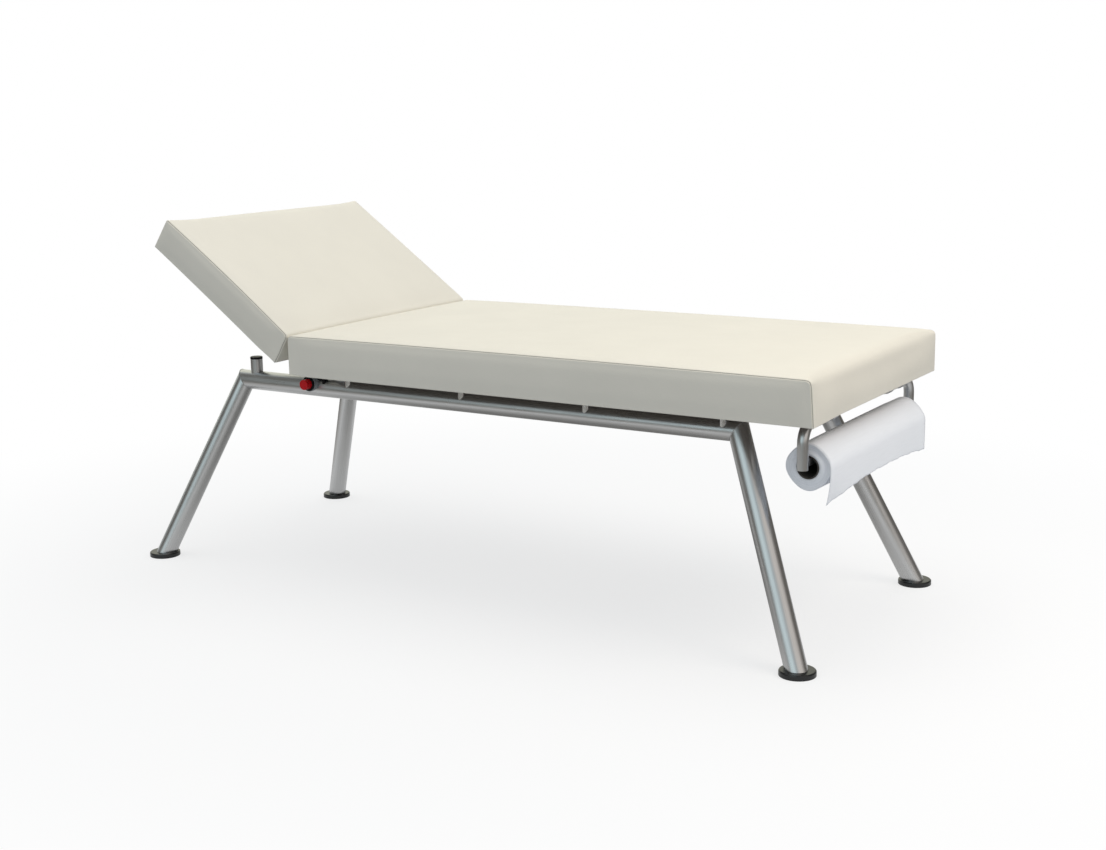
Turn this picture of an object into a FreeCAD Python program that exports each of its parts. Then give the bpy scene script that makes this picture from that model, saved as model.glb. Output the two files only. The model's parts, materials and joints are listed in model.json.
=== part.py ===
"""Examination table with a tilting head section, in millimetres.

+X runs from the head end to the foot end, +Y to the left side of a patient lying on it, +Z up.
The origin is on the floor, under the middle of the frame. The head section is drawn raised.
"""
import FreeCAD, Part
import math
import os

os.makedirs("parts", exist_ok=True)
V = FreeCAD.Vector
UP = V(0, 0, 1)
ALONG = V(1, 0, 0)
ACROSS = V(0, 1, 0)
SIDES = {"right": -1, "left": 1}
ENDS = {"head": -1, "foot": 1}

# Clearances
RUN_FIT = 0.05          # radial, a pin or rod that turns or slides
BOLT_FIT = 0.2          # radial, a bolt in its hole
SOFT_GAP = 0.3          # soft piece to its neighbour
SIDE_GAP = 0.2          # between plates that turn on one pin
REST_GAP = 0.3          # head arm to the cap that it lands on
PAST = 1.0              # how far a cutting bar runs past the face that it cuts

# Frame tubes
TUBE_D = 50.8
TUBE_WALL = 2.0
RAIL_Z = 489.0          # height of the rail axis
RAIL_Y = 230.0          # rail axis to the middle plane
RAIL_HALF = 734.0       # middle to the mitre corner
LEG_SPLAY_X = 208.0     # corner to foot, outwards along the table
LEG_SPLAY_Y = 141.0     # corner to foot, outwards across the table
CROSS_D = 40.0
CROSS_WALL = 2.0
CROSS_HEAD_IN = 144.0   # head cross tube, from the hinge line
CROSS_FOOT_IN = 174.0   # foot cross tube, from the foot corner

# Rubber feet
FOOT_D = 82.0
FOOT_T = 12.0
FOOT_EDGE_R = 3.5
FOOT_PLUG_L = 40.0      # along the leg, inside it

# Pads
PAD_WIDTH = 780.0
MAIN_LENGTH = 1412.0
HEAD_LENGTH = 482.0
MAIN_THICK = 101.0      # underside of the board to the top edge
HEAD_THICK = 88.0
HINGE_X = -444.0        # line where the two pads meet
PAD_GAP = 6.0           # between the two end faces when flat
HINGE_EDGE_R = 12.0     # top edge of a pad at the hinge
OUTER_EDGE_R = 20.0     # top edge of a pad at its other end
SIDE_EDGE_R = 5.0       # sewn top edge along the sides
CROWN = 2.0             # rise of the middle over the edges, both ways
SIDE_DRAW = 2.5         # how far the long sides draw in between the corners
BOARD_T = 18.0
BOARD_INSET = 5.0       # cover and foam around the board

# Standoffs and their bolts
STANDOFF_D = 18.0
STANDOFF_H = 34.6
STANDOFF_FIRST = 73.0   # first standoff, from the hinge end of the main pad
STANDOFF_LAST = 31.0    # last standoff, from the foot corner
STANDOFF_COUNT = 4
STANDOFF_OUT = 14.7     # standoff axis, outwards of the rail axis
BOLT_D = 8.0
BOLT_HEAD_D = 15.0
BOLT_HEAD_T = 5.0
BOLT_IN_STANDOFF = 22.0
BORE_PAST = 2.0         # blind bore in the standoff, past the end of the bolt
WASHER_D = 16.0
WASHER_T = 1.6
HEAD_SUNK = 0.4         # bolt head under the upper face of the board

# Rest posts
POST_D = 32.0
POST_WALL = 2.0
POST_FROM_CORNER = 40.0
CAP_D = 33.0
CAP_T = 6.0
CAP_PLUG_L = 12.0

# Hinge of the head section
REST_TILT = 35.5        # degrees above flat, as drawn
HINGE_DEPTH = 16.0      # pivot under the top edges
HINGE_PIN_D = 8.0
HINGE_PIN_HEAD = 2.5
PIN_HEAD_R = 6.5
EAR_R = 8.0
PLATE_T = 6.0
BLADE_BACK = 24.0       # reach of a hinge blade behind the hinge line
BLADE_FRONT = 6.0       # its front edge, behind the hinge line
BLADE_NECK = 32.0       # its slanted neck, under the pivot
FLANGE_T = 5.0
FLANGE_LENGTH = 42.0
FLANGE_WIDTH = 44.0
SLOT_HALF = 14.0        # half width of the hinge slot in board and cushion
SLOT_DEEP = 30.0
SLOT_OVER_EAR = 1.0

# Head arms
ARM_W = 40.0
ARM_T = 8.0
ARM_LENGTH = 420.0
ARM_FIRST = 7.0         # start of the arm, behind the hinge line
ARM_SCREW_FIRST = 60.0  # first screw, from the start of the arm
ARM_SCREW_PITCH = 140.0
ARM_SCREW_COUNT = 3

# Gas strut, seen in the middle plane
STRUT_BASE_OUT = 40.0   # base pin, headwards of the cross tube
STRUT_BASE_DROP = 14.0  # base pin, under the rail axis
LUG_BACK = 80.0         # lug pin behind the pivot, with the head section flat
LUG_DROP = 110.0        # lug pin under the pivot, with the head section flat
STRUT_ROD_D = 10.0
STRUT_ROD_L = 138.0     # base pin to the end of the piston
PISTON_L = 10.0
STRUT_D = 22.0
STRUT_BORE_D = 19.2
STRUT_L = 162.0         # lug pin to the open end of the cylinder
STRUT_CAP_T = 8.0
STRUT_EYE_W = 20.0
STRUT_NECK = 22.0       # lug pin to the closed end of the cylinder
BASE_EYE_R = 11.0
BASE_PIN_D = 10.0
LUG_EYE_R = 13.0
LUG_PIN_D = 8.0
LUG_PLAY = 4.0          # radial play of the eye on the lug pin
CHEEK_T = 5.0
CHEEK_IN = 13.0         # inner face of a cheek from the middle plane
PIN_OUT = 3.0           # pin end past the outer cheek
PIN_RIM = 2.0           # rim of a pin end over the pin
CHEEK_RIM = 3.0         # cheek past the eye or the tube that it goes round
LUG_BOSS = 6.0          # cheek round the lug pin
LUG_FOOT = 20.0         # half width of a lug cheek at the plate
LUG_PLATE_HALF_X = 36.0
LUG_PLATE_HALF_Y = 32.0
LUG_SCREW_IN = 8.0      # lug screws, from the edges of the plate

# Release lever and its cable
LEVER_T = 4.0
LEVER_W = 10.0
LEVER_ARM = 40.0
LEVER_HUB_R = 9.0
NIPPLE_R = 4.0
NIPPLE_L = 8.0
NIPPLE_BORE_R = 2.2
CABLE_D = 5.0
WIRE_D = 1.6
CABLE_STOP_REACH = 16.0  # base pin to the face of the cable stop
CABLE_STOP_T = 4.0
STOP_PLATE_H = 22.0
CABLE_OUT = 26.0        # straight run out of the gland
CABLE_IN = 30.0         # straight run into the stop
CABLE_BENDS = 4         # points of the S between the two runs
CABLE_SWAY = 14.0       # how far the S swings along the table
CABLE_HUMP = 10.0       # how far it rises over the rail

# Release button
BUTTON_BACK = 40.4      # button axis, headwards of the hinge line
BUTTON_RISE = 12.5      # button axis, over the rail axis
BUTTON_OUT = 30.6       # front of the cap, from the outer side of the rail
BUTTON_D = 27.0
BUTTON_WALL = 3.0
BUTTON_EDGE_R = 2.0
BEZEL_D = 38.0
BEZEL_T = 4.0
BUTTON_PROUD = 18.0     # cap front to bezel front
HOUSING_D = 41.0
HOUSING_SUNK = 20.4     # back of the housing, from the outer side of the rail
HOUSING_WALL = 4.5
FLANGE_R = 15.5         # rim that keeps the cap behind the bezel
RIM_T = 2.0
STEM_D = 7.0
STEM_SUNK = 9.4         # end of the stem, from the outer side of the rail
SPRING_D = 16.0         # over the wire
SPRING_WIRE = 1.4
SPRING_TURNS = 7
GLAND_D = 10.0
GLAND_SUNK = 9.4        # gland axis, from the outer side of the rail
GLAND_RISE = 27.0       # gland axis, over the rail axis
GLAND_REACH = 30.4      # button axis to the end of the gland
CLIP_FROM_GLAND = 9.0   # cable clip, from the end of the gland
CABLE_CLIP_W = 8.0
CABLE_CLIP_WALL = 3.5

# Paper roll and its holder
HOOK_D = 25.0
HOOK_WALL = 2.0
HOOK_IN = 43.0          # hook, from the foot end of the main pad
ROLL_END_GAP = 14.5     # end of the roll to the hook
HOOK_DROP = 108.0       # lower end of the hook, from the board
HOOK_BEND_R = 40.0
HOOK_RUN = 177.0        # length of the hook along the board
ROD_D = 20.0
ROD_ABOVE_END = 12.5    # rod axis over the lower end of the hook
ROD_SPIGOT_D = 10.0
ROD_SHOULDER_GAP = 1.0
CORE_BORE_D = 46.0
CORE_WALL = 2.5
ROLL_D = 104.0
ROLL_LENGTH = 600.0
ROLL_EDGE_R = 3.0
PAPER_T = 0.5
TAIL_DROP = 57.0        # roll axis to the lower edge of the tail, in the middle
TAIL_CORNER_DROP = 13.0  # how much lower its corners hang
TAIL_WRAP = 30.0        # degrees that it still lies round the roll
CLIP_T = 2.0
CLIP_W = 20.0
CLIP_FLANGE = 14.0
CLIP_FIRST = 72.0       # first clip, from the outer end of the hook
CLIP_PITCH = 80.0
CLIP_COUNT = 2
SCREW_D = 4.0
SCREW_HEAD_D = 8.0
SCREW_HEAD_T = 2.5
SCREW_L = 16.0

# Places worked out from the sizes above
TUBE_R = TUBE_D / 2
RAIL_TOP = RAIL_Z + TUBE_R
PAD_UNDER = RAIL_TOP + STANDOFF_H
PAD_TOP = PAD_UNDER + MAIN_THICK
MAIN_START = HINGE_X + PAD_GAP / 2
MAIN_END = MAIN_START + MAIN_LENGTH
HEAD_START = HINGE_X - PAD_GAP / 2
HEAD_END = HEAD_START - HEAD_LENGTH
HEAD_UNDER = PAD_TOP - HEAD_THICK
PIVOT = V(HINGE_X, 0, PAD_TOP - HINGE_DEPTH)
ARM_UNDER = HEAD_UNDER - ARM_T
POST_X = -RAIL_HALF + POST_FROM_CORNER
POST_TOP = ARM_UNDER - REST_GAP
CROSS_HEAD_X = HINGE_X + CROSS_HEAD_IN
CROSS_FOOT_X = RAIL_HALF - CROSS_FOOT_IN
STRUT_BASE = V(CROSS_HEAD_X - STRUT_BASE_OUT, 0, RAIL_Z - STRUT_BASE_DROP)
LUG_PIN = V(HINGE_X - LUG_BACK, 0, PIVOT.z - LUG_DROP)
RAIL_OUTER = RAIL_Y + TUBE_R
BUTTON_X = HINGE_X - BUTTON_BACK
BUTTON_Z = RAIL_Z + BUTTON_RISE
BUTTON_FRONT = RAIL_OUTER + BUTTON_OUT
HOUSING_BACK = RAIL_OUTER - HOUSING_SUNK
GLAND_END = V(BUTTON_X + GLAND_REACH, GLAND_SUNK - RAIL_OUTER, RAIL_Z + GLAND_RISE)
HOOK_X = MAIN_END - HOOK_IN
HOOK_Y = ROLL_LENGTH / 2 + ROLL_END_GAP + HOOK_D / 2
HOOK_END_Z = PAD_UNDER - HOOK_DROP
ROD_Z = HOOK_END_Z + ROD_ABOVE_END
ROLL_AXIS = V(HOOK_X, 0, ROD_Z - (CORE_BORE_D - ROD_D) / 2 + SOFT_GAP)
HOOK_TOP_Z = PAD_UNDER - HOOK_D / 2
STANDOFF_Y = RAIL_Y + STANDOFF_OUT
STANDOFF_START = MAIN_START + STANDOFF_FIRST
STANDOFF_PITCH = (RAIL_HALF - STANDOFF_LAST - STANDOFF_START) / (STANDOFF_COUNT - 1)
STANDOFF_XS = [STANDOFF_START + STANDOFF_PITCH * i for i in range(STANDOFF_COUNT)]


# Building blocks

def rod(start, end, radius):
    """Round bar between two points."""
    return Part.makeCylinder(radius, (end - start).Length, start, end - start)


def pipe(start, end, outer, inner):
    """Round tube between two points."""
    return rod(start, end, outer).cut(rod(start, end, inner))


def block(x0, x1, y0, y1, z0, z1):
    """Box between two corners, in any order."""
    low = V(min(x0, x1), min(y0, y1), min(z0, z1))
    return Part.makeBox(abs(x1 - x0), abs(y1 - y0), abs(z1 - z0), low)


def plate(points, y0, y1):
    """Flat plate in an upright plane along the table: (x, z) outline, from y0 to y1."""
    low = min(y0, y1)
    outline = Part.makePolygon([V(x, low, z) for x, z in points + points[:1]])
    return Part.Face(outline).extrude(V(0, abs(y1 - y0), 0))


def beyond(point, normal):
    """Large block on the far side of a plane, for cutting a tube end."""
    size = 4 * TUBE_D
    box = Part.makeBox(size, size, size, V(-size / 2, -size / 2, 0))
    box.Placement = FreeCAD.Placement(point, FreeCAD.Rotation(UP, normal)).multiply(box.Placement)
    return box


def raised(shape):
    """Turn a head piece from flat to the drawn tilt."""
    turned = shape.copy()
    turned.rotate(PIVOT, ACROSS, REST_TILT)
    return turned


def save(name, shape):
    shape.exportStep("parts/" + name + ".step")


def group(name, solids):
    save(name, Part.makeCompound(solids))


def raised_point(point):
    """Place of a head point at the drawn tilt."""
    return PIVOT + FreeCAD.Rotation(ACROSS, REST_TILT).multVec(point - PIVOT)


# Frame

def corner(end, side):
    return V(ENDS[end] * RAIL_HALF, SIDES[side] * RAIL_Y, RAIL_Z)


def foot_point(end, side):
    return corner(end, side) + V(ENDS[end] * LEG_SPLAY_X, SIDES[side] * LEG_SPLAY_Y, -RAIL_Z)


def mitre(end, side):
    """Corner point and the unit normal of the mitre, pointing away from the rail."""
    top = corner(end, side)
    along_leg = (foot_point(end, side) - top).normalize()
    along_rail = V(-ENDS[end], 0, 0)
    return top, (along_leg - along_rail).normalize()


def rail_bar(side, radius):
    reach = V(RAIL_HALF + 2 * TUBE_D, 0, 0)
    middle = V(0, SIDES[side] * RAIL_Y, RAIL_Z)
    return rod(middle - reach, middle + reach, radius)


def button_point(y):
    return V(BUTTON_X, -y, BUTTON_Z)


def side_rail(side):
    shape = rail_bar(side, TUBE_R).cut(rail_bar(side, TUBE_R - TUBE_WALL))
    for end in ENDS:
        shape = shape.cut(beyond(*mitre(end, side)))
    if side == "right":
        shape = shape.cut(rod(button_point(BUTTON_FRONT), button_point(RAIL_Y), STEM_D / 2 + BOLT_FIT))
    return shape


def leg(end, side):
    top, normal = mitre(end, side)
    foot = foot_point(end, side)
    axis = (foot - top).normalize()
    start = top - axis * 2 * TUBE_D
    stop = foot + axis * TUBE_D
    shape = pipe(start, stop, TUBE_R, TUBE_R - TUBE_WALL).cut(beyond(top, normal * -1))
    return shape.cut(beyond(V(foot.x, foot.y, FOOT_T), V(0, 0, -1)))


def foot(end, side):
    """Rubber disc with a slanted plug inside the leg."""
    low = foot_point(end, side)
    axis = (corner(end, side) - low).normalize()
    disc = Part.makeCylinder(FOOT_D / 2, FOOT_T, low)
    disc = disc.makeFillet(FOOT_EDGE_R, [edge for edge in disc.Edges if edge.BoundBox.ZMin > FOOT_T / 2])
    top = low + axis * (FOOT_T / axis.z)
    plug = rod(low, top + axis * FOOT_PLUG_L, TUBE_R - TUBE_WALL - RUN_FIT)
    return disc.fuse(plug.cut(beyond(V(low.x, low.y, FOOT_T / 2), V(0, 0, -1)))).removeSplitter()


def cross_tube(x):
    ends = [V(x, SIDES[side] * RAIL_Y, RAIL_Z) for side in SIDES]
    shape = pipe(ends[0], ends[1], CROSS_D / 2, CROSS_D / 2 - CROSS_WALL)
    for side in SIDES:
        shape = shape.cut(rail_bar(side, TUBE_R))
    return shape


def standoff_top(x, side):
    return V(x, SIDES[side] * STANDOFF_Y, PAD_UNDER)


def standoff(x, side):
    """Pillar welded on the outer shoulder of the rail, with a saddle end and a blind bore for the bolt."""
    top = standoff_top(x, side)
    shape = rod(V(top.x, top.y, RAIL_Z), top, STANDOFF_D / 2).cut(rail_bar(side, TUBE_R))
    return shape.cut(rod(top - UP * (BOLT_IN_STANDOFF + BORE_PAST), top + UP * PAST, BOLT_D / 2 + RUN_FIT))


def bolt_seat(x, side):
    """Floor of the counterbore in the board, which the washer lies on."""
    return standoff_top(x, side) + UP * (BOARD_T - HEAD_SUNK - BOLT_HEAD_T - WASHER_T)


def bolt_washer(x, side):
    seat = bolt_seat(x, side)
    ring = rod(seat, seat + UP * WASHER_T, WASHER_D / 2)
    return ring.cut(rod(seat - UP * PAST, seat + UP * (WASHER_T + PAST), BOLT_D / 2 + BOLT_FIT))


def pad_bolt(x, side):
    """Bolt from the board's upper face, under the foam, down into the standoff."""
    seat = bolt_seat(x, side) + UP * WASHER_T
    head = rod(seat, seat + UP * BOLT_HEAD_T, BOLT_HEAD_D / 2)
    rim = [edge for edge in head.Edges if edge.BoundBox.ZMin > seat.z + BOLT_HEAD_T / 2]
    head = head.makeFillet(BOLT_HEAD_T / 2, rim)
    return head.fuse(rod(standoff_top(x, side) - UP * BOLT_IN_STANDOFF, seat, BOLT_D / 2)).removeSplitter()


def rest_post(side):
    base = V(POST_X, SIDES[side] * RAIL_Y, RAIL_Z)
    shape = pipe(base, V(base.x, base.y, POST_TOP - CAP_T), POST_D / 2, POST_D / 2 - POST_WALL)
    return shape.cut(rail_bar(side, TUBE_R))


def post_cap(side):
    """Black cap with a plug in the post."""
    seat = V(POST_X, SIDES[side] * RAIL_Y, POST_TOP - CAP_T)
    cap = rod(seat, seat + UP * CAP_T, CAP_D / 2)
    cap = cap.makeFillet(CAP_T / 4, [edge for edge in cap.Edges if edge.BoundBox.ZMin > seat.z + CAP_T / 2])
    return cap.fuse(rod(seat - UP * CAP_PLUG_L, seat, POST_D / 2 - POST_WALL - RUN_FIT))


# Pads, drawn flat

def pad_profile(x_low, x_high, under, r_low, r_high):
    """Side outline of a pad: crowned top, rounded ends, sunk below its underside for trimming."""
    slant = math.sqrt(0.5)
    sunk = under - 4 * CROWN
    top = PAD_TOP
    low_face = V(x_low, 0, top - r_low)
    low_top = V(x_low + r_low, 0, top)
    high_top = V(x_high - r_high, 0, top)
    high_face = V(x_high, 0, top - r_high)
    low_bend = V(x_low + r_low, 0, top - r_low) + V(-slant, 0, slant) * r_low
    high_bend = V(x_high - r_high, 0, top - r_high) + V(slant, 0, slant) * r_high
    edges = [
        Part.LineSegment(V(x_low, 0, sunk), low_face),
        Part.Arc(low_face, low_bend, low_top),
        Part.Arc(low_top, V((x_low + x_high) / 2, 0, top + CROWN), high_top),
        Part.Arc(high_top, high_bend, high_face),
        Part.LineSegment(high_face, V(x_high, 0, sunk)),
        Part.LineSegment(V(x_high, 0, sunk), V(x_low, 0, sunk)),
    ]
    return Part.Wire([edge.toShape() for edge in edges])


def pad_plan(x_low, x_high, under):
    """Plan outline of a pad as an upright block, long sides drawn in, both ends past those of the pad."""
    middle = (x_low + x_high) / 2
    share = 1 + 2 * TUBE_D / (x_high - x_low)
    reach = share * (x_high - x_low) / 2
    inner = PAD_WIDTH / 2 - SIDE_DRAW
    outer = inner + SIDE_DRAW * share ** 2
    low = middle - reach
    high = middle + reach
    edges = [
        Part.Arc(V(low, -outer, under), V(middle, -inner, under), V(high, -outer, under)),
        Part.LineSegment(V(high, -outer, under), V(high, outer, under)),
        Part.Arc(V(high, outer, under), V(middle, inner, under), V(low, outer, under)),
        Part.LineSegment(V(low, outer, under), V(low, -outer, under)),
    ]
    wire = Part.Wire([edge.toShape() for edge in edges])
    return Part.Face(wire).extrude(UP * 2 * MAIN_THICK)


def cushion(x_low, x_high, under, r_low, r_high):
    """Crowned foam pad with its cover, open underneath for the board and slotted for the hinges."""
    half = PAD_WIDTH / 2
    bow = (half ** 2 + CROWN ** 2) / (2 * CROWN)
    crest = PAD_TOP + CROWN
    axis_point = V(0, 0, crest - bow)
    sweep = math.degrees(math.asin(half / bow)) * 1.2
    face = Part.Face(pad_profile(x_low, x_high, under, r_low, r_high))
    face.rotate(axis_point, ALONG, -sweep)
    body = face.revolve(axis_point, ALONG, 2 * sweep)
    body = body.common(pad_plan(x_low, x_high, under)).Solids[0]
    edge_rows = [edge for edge in body.Edges if on_side_outline(edge, under)]
    body = body.makeFillet(SIDE_EDGE_R, edge_rows)
    return body.cut(board_block(x_low, x_high, under, SOFT_GAP))


def on_side_outline(edge, under):
    """True for the top and end edges of the two long sides, not for the lower ones."""
    box = edge.BoundBox
    outer = PAD_WIDTH / 2 - 2 * SIDE_DRAW
    return min(abs(box.YMin), abs(box.YMax)) > outer and box.ZMax > under + PAST and box.YMin * box.YMax > 0


def board_block(x_low, x_high, under, gap):
    inset = BOARD_INSET - gap
    half = PAD_WIDTH / 2 - SIDE_DRAW - inset
    return block(x_low + inset, x_high - inset, -half, half, under, under + BOARD_T)


def hinge_slots(pad_face, into, under):
    """Two pockets for the hinge blades, open to the end face and the underside."""
    top = PIVOT.z + EAR_R + SLOT_OVER_EAR
    slots = []
    for side in SIDES:
        middle = SIDES[side] * RAIL_Y
        slots.append(block(pad_face - into, pad_face + into * SLOT_DEEP,
                           middle - SLOT_HALF, middle + SLOT_HALF, under - PAST, top))
    return Part.makeCompound(slots)


def screw(seat):
    """Pan head screw driven upwards, seat on the face under its head."""
    head = rod(seat - UP * SCREW_HEAD_T, seat, SCREW_HEAD_D / 2)
    rim = [edge for edge in head.Edges if edge.BoundBox.ZMax < seat.z - SCREW_HEAD_T / 2]
    head = head.makeFillet(SCREW_HEAD_T / 2.5, rim)
    return head.fuse(rod(seat, seat + UP * SCREW_L, SCREW_D / 2))


def screw_hole(seat):
    return rod(seat - UP * PAST, seat + UP * (SCREW_L + PAST), SCREW_D / 2 + RUN_FIT)


# Hinge plates and head arms, drawn flat

def hinge_blade(into, foot_z, y0, y1):
    """Upright blade with its ear on the pivot; into is +1 for the main side and -1 for the head side."""
    x, z = PIVOT.x, PIVOT.z
    front = x + into * BLADE_FRONT
    back = x + into * BLADE_BACK
    shoulder = EAR_R * math.sqrt(0.5)
    outline = [(x - into * shoulder, z - shoulder), (front, z - BLADE_NECK), (front, foot_z), (back, foot_z),
               (back, z - BLADE_NECK), (x + into * shoulder, z + shoulder)]
    ear = rod(V(x, min(y0, y1), z), V(x, max(y0, y1), z), EAR_R)
    return plate(outline, y0, y1).fuse(ear).removeSplitter()


def pin_hole(y0, y1, radius):
    """Bar along the hinge line, for cutting the hole of a hinge blade."""
    return rod(V(PIVOT.x, min(y0, y1) - PAST, PIVOT.z), V(PIVOT.x, max(y0, y1) + PAST, PIVOT.z), radius)


def flange_screw_seats(side):
    middle = SIDES[side] * RAIL_Y
    x = HINGE_X + BLADE_BACK + (FLANGE_LENGTH - BLADE_BACK) / 2
    return [V(x, middle + sign * FLANGE_WIDTH / 4, PAD_UNDER - FLANGE_T) for sign in (-1, 1)]


def hinge_plate(side):
    """Blade on the outer side of the hinge, welded on a flange under the main board."""
    sign = SIDES[side]
    outer = RAIL_Y + PLATE_T
    blade = hinge_blade(1, PAD_UNDER - FLANGE_T, sign * RAIL_Y, sign * outer)
    start = HINGE_X + BLADE_FRONT
    middle = sign * RAIL_Y
    flange = block(start, start + FLANGE_LENGTH, middle - FLANGE_WIDTH / 2, middle + FLANGE_WIDTH / 2,
                   PAD_UNDER - FLANGE_T, PAD_UNDER)
    shape = flange.fuse(blade).removeSplitter().cut(pin_hole(middle, sign * outer, HINGE_PIN_D / 2))
    for seat in flange_screw_seats(side):
        shape = shape.cut(screw_hole(seat))
    return shape


def arm_screw_seats(side):
    first = HINGE_X - ARM_FIRST - ARM_SCREW_FIRST
    return [V(first - ARM_SCREW_PITCH * i, SIDES[side] * RAIL_Y, ARM_UNDER) for i in range(ARM_SCREW_COUNT)]


def head_arm(side):
    """Flat bar under the head board with a blade on the inner side of the hinge."""
    sign = SIDES[side]
    inner = RAIL_Y - SIDE_GAP
    blade = hinge_blade(-1, ARM_UNDER, sign * inner, sign * (inner - PLATE_T))
    start = HINGE_X - ARM_FIRST
    middle = sign * RAIL_Y
    bar = block(start, start - ARM_LENGTH, middle - ARM_W / 2, middle + ARM_W / 2, ARM_UNDER, HEAD_UNDER)
    shape = bar.fuse(blade).removeSplitter()
    shape = shape.cut(pin_hole(sign * inner, sign * (inner - PLATE_T), HINGE_PIN_D / 2 + RUN_FIT))
    for seat in arm_screw_seats(side):
        shape = shape.cut(screw_hole(seat))
    return shape


def hinge_pin(side):
    """Pin with a flat head, through both blades."""
    sign = SIDES[side]
    inner = V(PIVOT.x, sign * (RAIL_Y - SIDE_GAP - PLATE_T - SIDE_GAP - HINGE_PIN_HEAD), PIVOT.z)
    outer = V(PIVOT.x, sign * (RAIL_Y + PLATE_T + HINGE_PIN_HEAD), PIVOT.z)
    head = rod(inner, inner + ACROSS * sign * HINGE_PIN_HEAD, PIN_HEAD_R)
    return rod(inner, outer, HINGE_PIN_D / 2).fuse(head).removeSplitter()


# Gas strut

def strut_axis():
    """Unit vector from the base pin to the lug pin, as drawn."""
    return (raised_point(LUG_PIN) - STRUT_BASE).normalize()


def cross_bar(centre, radius):
    """Bar across the strut, for cutting a pin hole through an eye and its cheeks."""
    reach = ACROSS * 2 * STRUT_EYE_W
    return rod(centre - reach, centre + reach, radius)


def strut_rod():
    """Piston rod with its eye on the base pin and the piston at the other end."""
    axis = strut_axis()
    tip = STRUT_BASE + axis * STRUT_ROD_L
    stem = rod(STRUT_BASE, tip, STRUT_ROD_D / 2)
    piston = rod(tip - axis * PISTON_L, tip, STRUT_BORE_D / 2 - RUN_FIT)
    ring = rod(STRUT_BASE - ACROSS * STRUT_EYE_W / 2, STRUT_BASE + ACROSS * STRUT_EYE_W / 2, BASE_EYE_R)
    shape = stem.fuse(piston).fuse(ring).removeSplitter()
    return shape.cut(cross_bar(STRUT_BASE, BASE_PIN_D / 2 + RUN_FIT))


def strut_cylinder():
    """Cylinder with a closed end, an end cap round the rod and an eye with play on the lug pin."""
    axis = strut_axis() * -1
    lug = raised_point(LUG_PIN)
    closed = lug + axis * STRUT_NECK
    opened = lug + axis * STRUT_L
    body = rod(closed, opened, STRUT_D / 2)
    body = body.cut(rod(closed + axis * STRUT_CAP_T, opened - axis * STRUT_CAP_T, STRUT_BORE_D / 2))
    body = body.cut(rod(opened - axis * 2 * STRUT_CAP_T, opened + axis * PAST, STRUT_ROD_D / 2 + RUN_FIT))
    neck = rod(lug, closed + axis * STRUT_CAP_T / 2, STRUT_ROD_D / 2)
    ring = rod(lug - ACROSS * STRUT_EYE_W / 2, lug + ACROSS * STRUT_EYE_W / 2, LUG_EYE_R)
    shape = body.fuse(neck).fuse(ring).removeSplitter()
    return shape.cut(cross_bar(lug, LUG_PIN_D / 2 + LUG_PLAY))


def lever_y():
    """Outer face of the right cheek, where the release lever turns."""
    return -(CHEEK_IN + CHEEK_T + SIDE_GAP)


def wire_y():
    return lever_y() - LEVER_T / 2


def wire_z():
    return STRUT_BASE.z + LEVER_ARM


def stop_x():
    """Face of the cable stop on the side of the cable."""
    return STRUT_BASE.x - CABLE_STOP_REACH - CABLE_STOP_T


def strut_bracket():
    """Two cheeks on the cross tube with the base pin holes, and the cable stop beside the right one."""
    x, z = STRUT_BASE.x, STRUT_BASE.z
    tail = x - BASE_EYE_R - CHEEK_RIM
    low = z - BASE_EYE_R - CHEEK_RIM
    tube_top = RAIL_Z + CROSS_D / 2 + CHEEK_RIM
    tube_side = CROSS_HEAD_X - CROSS_D / 2
    outline = [(tail, low), (CROSS_HEAD_X, low), (CROSS_HEAD_X, tube_top), (tail, z + BASE_EYE_R + CHEEK_RIM)]
    cheeks = [plate(outline, sign * CHEEK_IN, sign * (CHEEK_IN + CHEEK_T)) for sign in (-1, 1)]
    left = stop_x()
    right = left + CABLE_STOP_T
    top = wire_z() + STOP_PLATE_H / 3
    horn = plate([(left, z), (x, z), (right, top), (left, top)], -CHEEK_IN, -(CHEEK_IN + CHEEK_T))
    stop = block(left, right, -CHEEK_IN, wire_y() - CABLE_D, top - STOP_PLATE_H, top)
    tie = block(tube_side - 2 * CHEEK_RIM, CROSS_HEAD_X, -CHEEK_IN, CHEEK_IN, low, low + CHEEK_T)
    shape = cheeks[0].fuse([cheeks[1], horn, stop, tie]).removeSplitter()
    shape = shape.cut(rod(V(CROSS_HEAD_X, -RAIL_Y, RAIL_Z), V(CROSS_HEAD_X, RAIL_Y, RAIL_Z), CROSS_D / 2))
    shape = shape.cut(cross_bar(STRUT_BASE, BASE_PIN_D / 2))
    wire = V(left - PAST, wire_y(), wire_z())
    return shape.cut(rod(wire, wire + ALONG * 2 * CABLE_STOP_T, WIRE_D / 2 + BOLT_FIT))


def strut_pin():
    """Base pin, long enough on the right for the release lever, with a head at each end."""
    right = V(STRUT_BASE.x, lever_y() - LEVER_T - SIDE_GAP - PIN_OUT, STRUT_BASE.z)
    left = V(STRUT_BASE.x, CHEEK_IN + CHEEK_T + PIN_OUT, STRUT_BASE.z)
    shape = rod(right, left, BASE_PIN_D / 2)
    for end, inward in ((right, 1), (left, -1)):
        shape = shape.fuse(rod(end, end + ACROSS * inward * (PIN_OUT - SIDE_GAP), BASE_PIN_D / 2 + PIN_RIM))
    return shape.removeSplitter()


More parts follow.
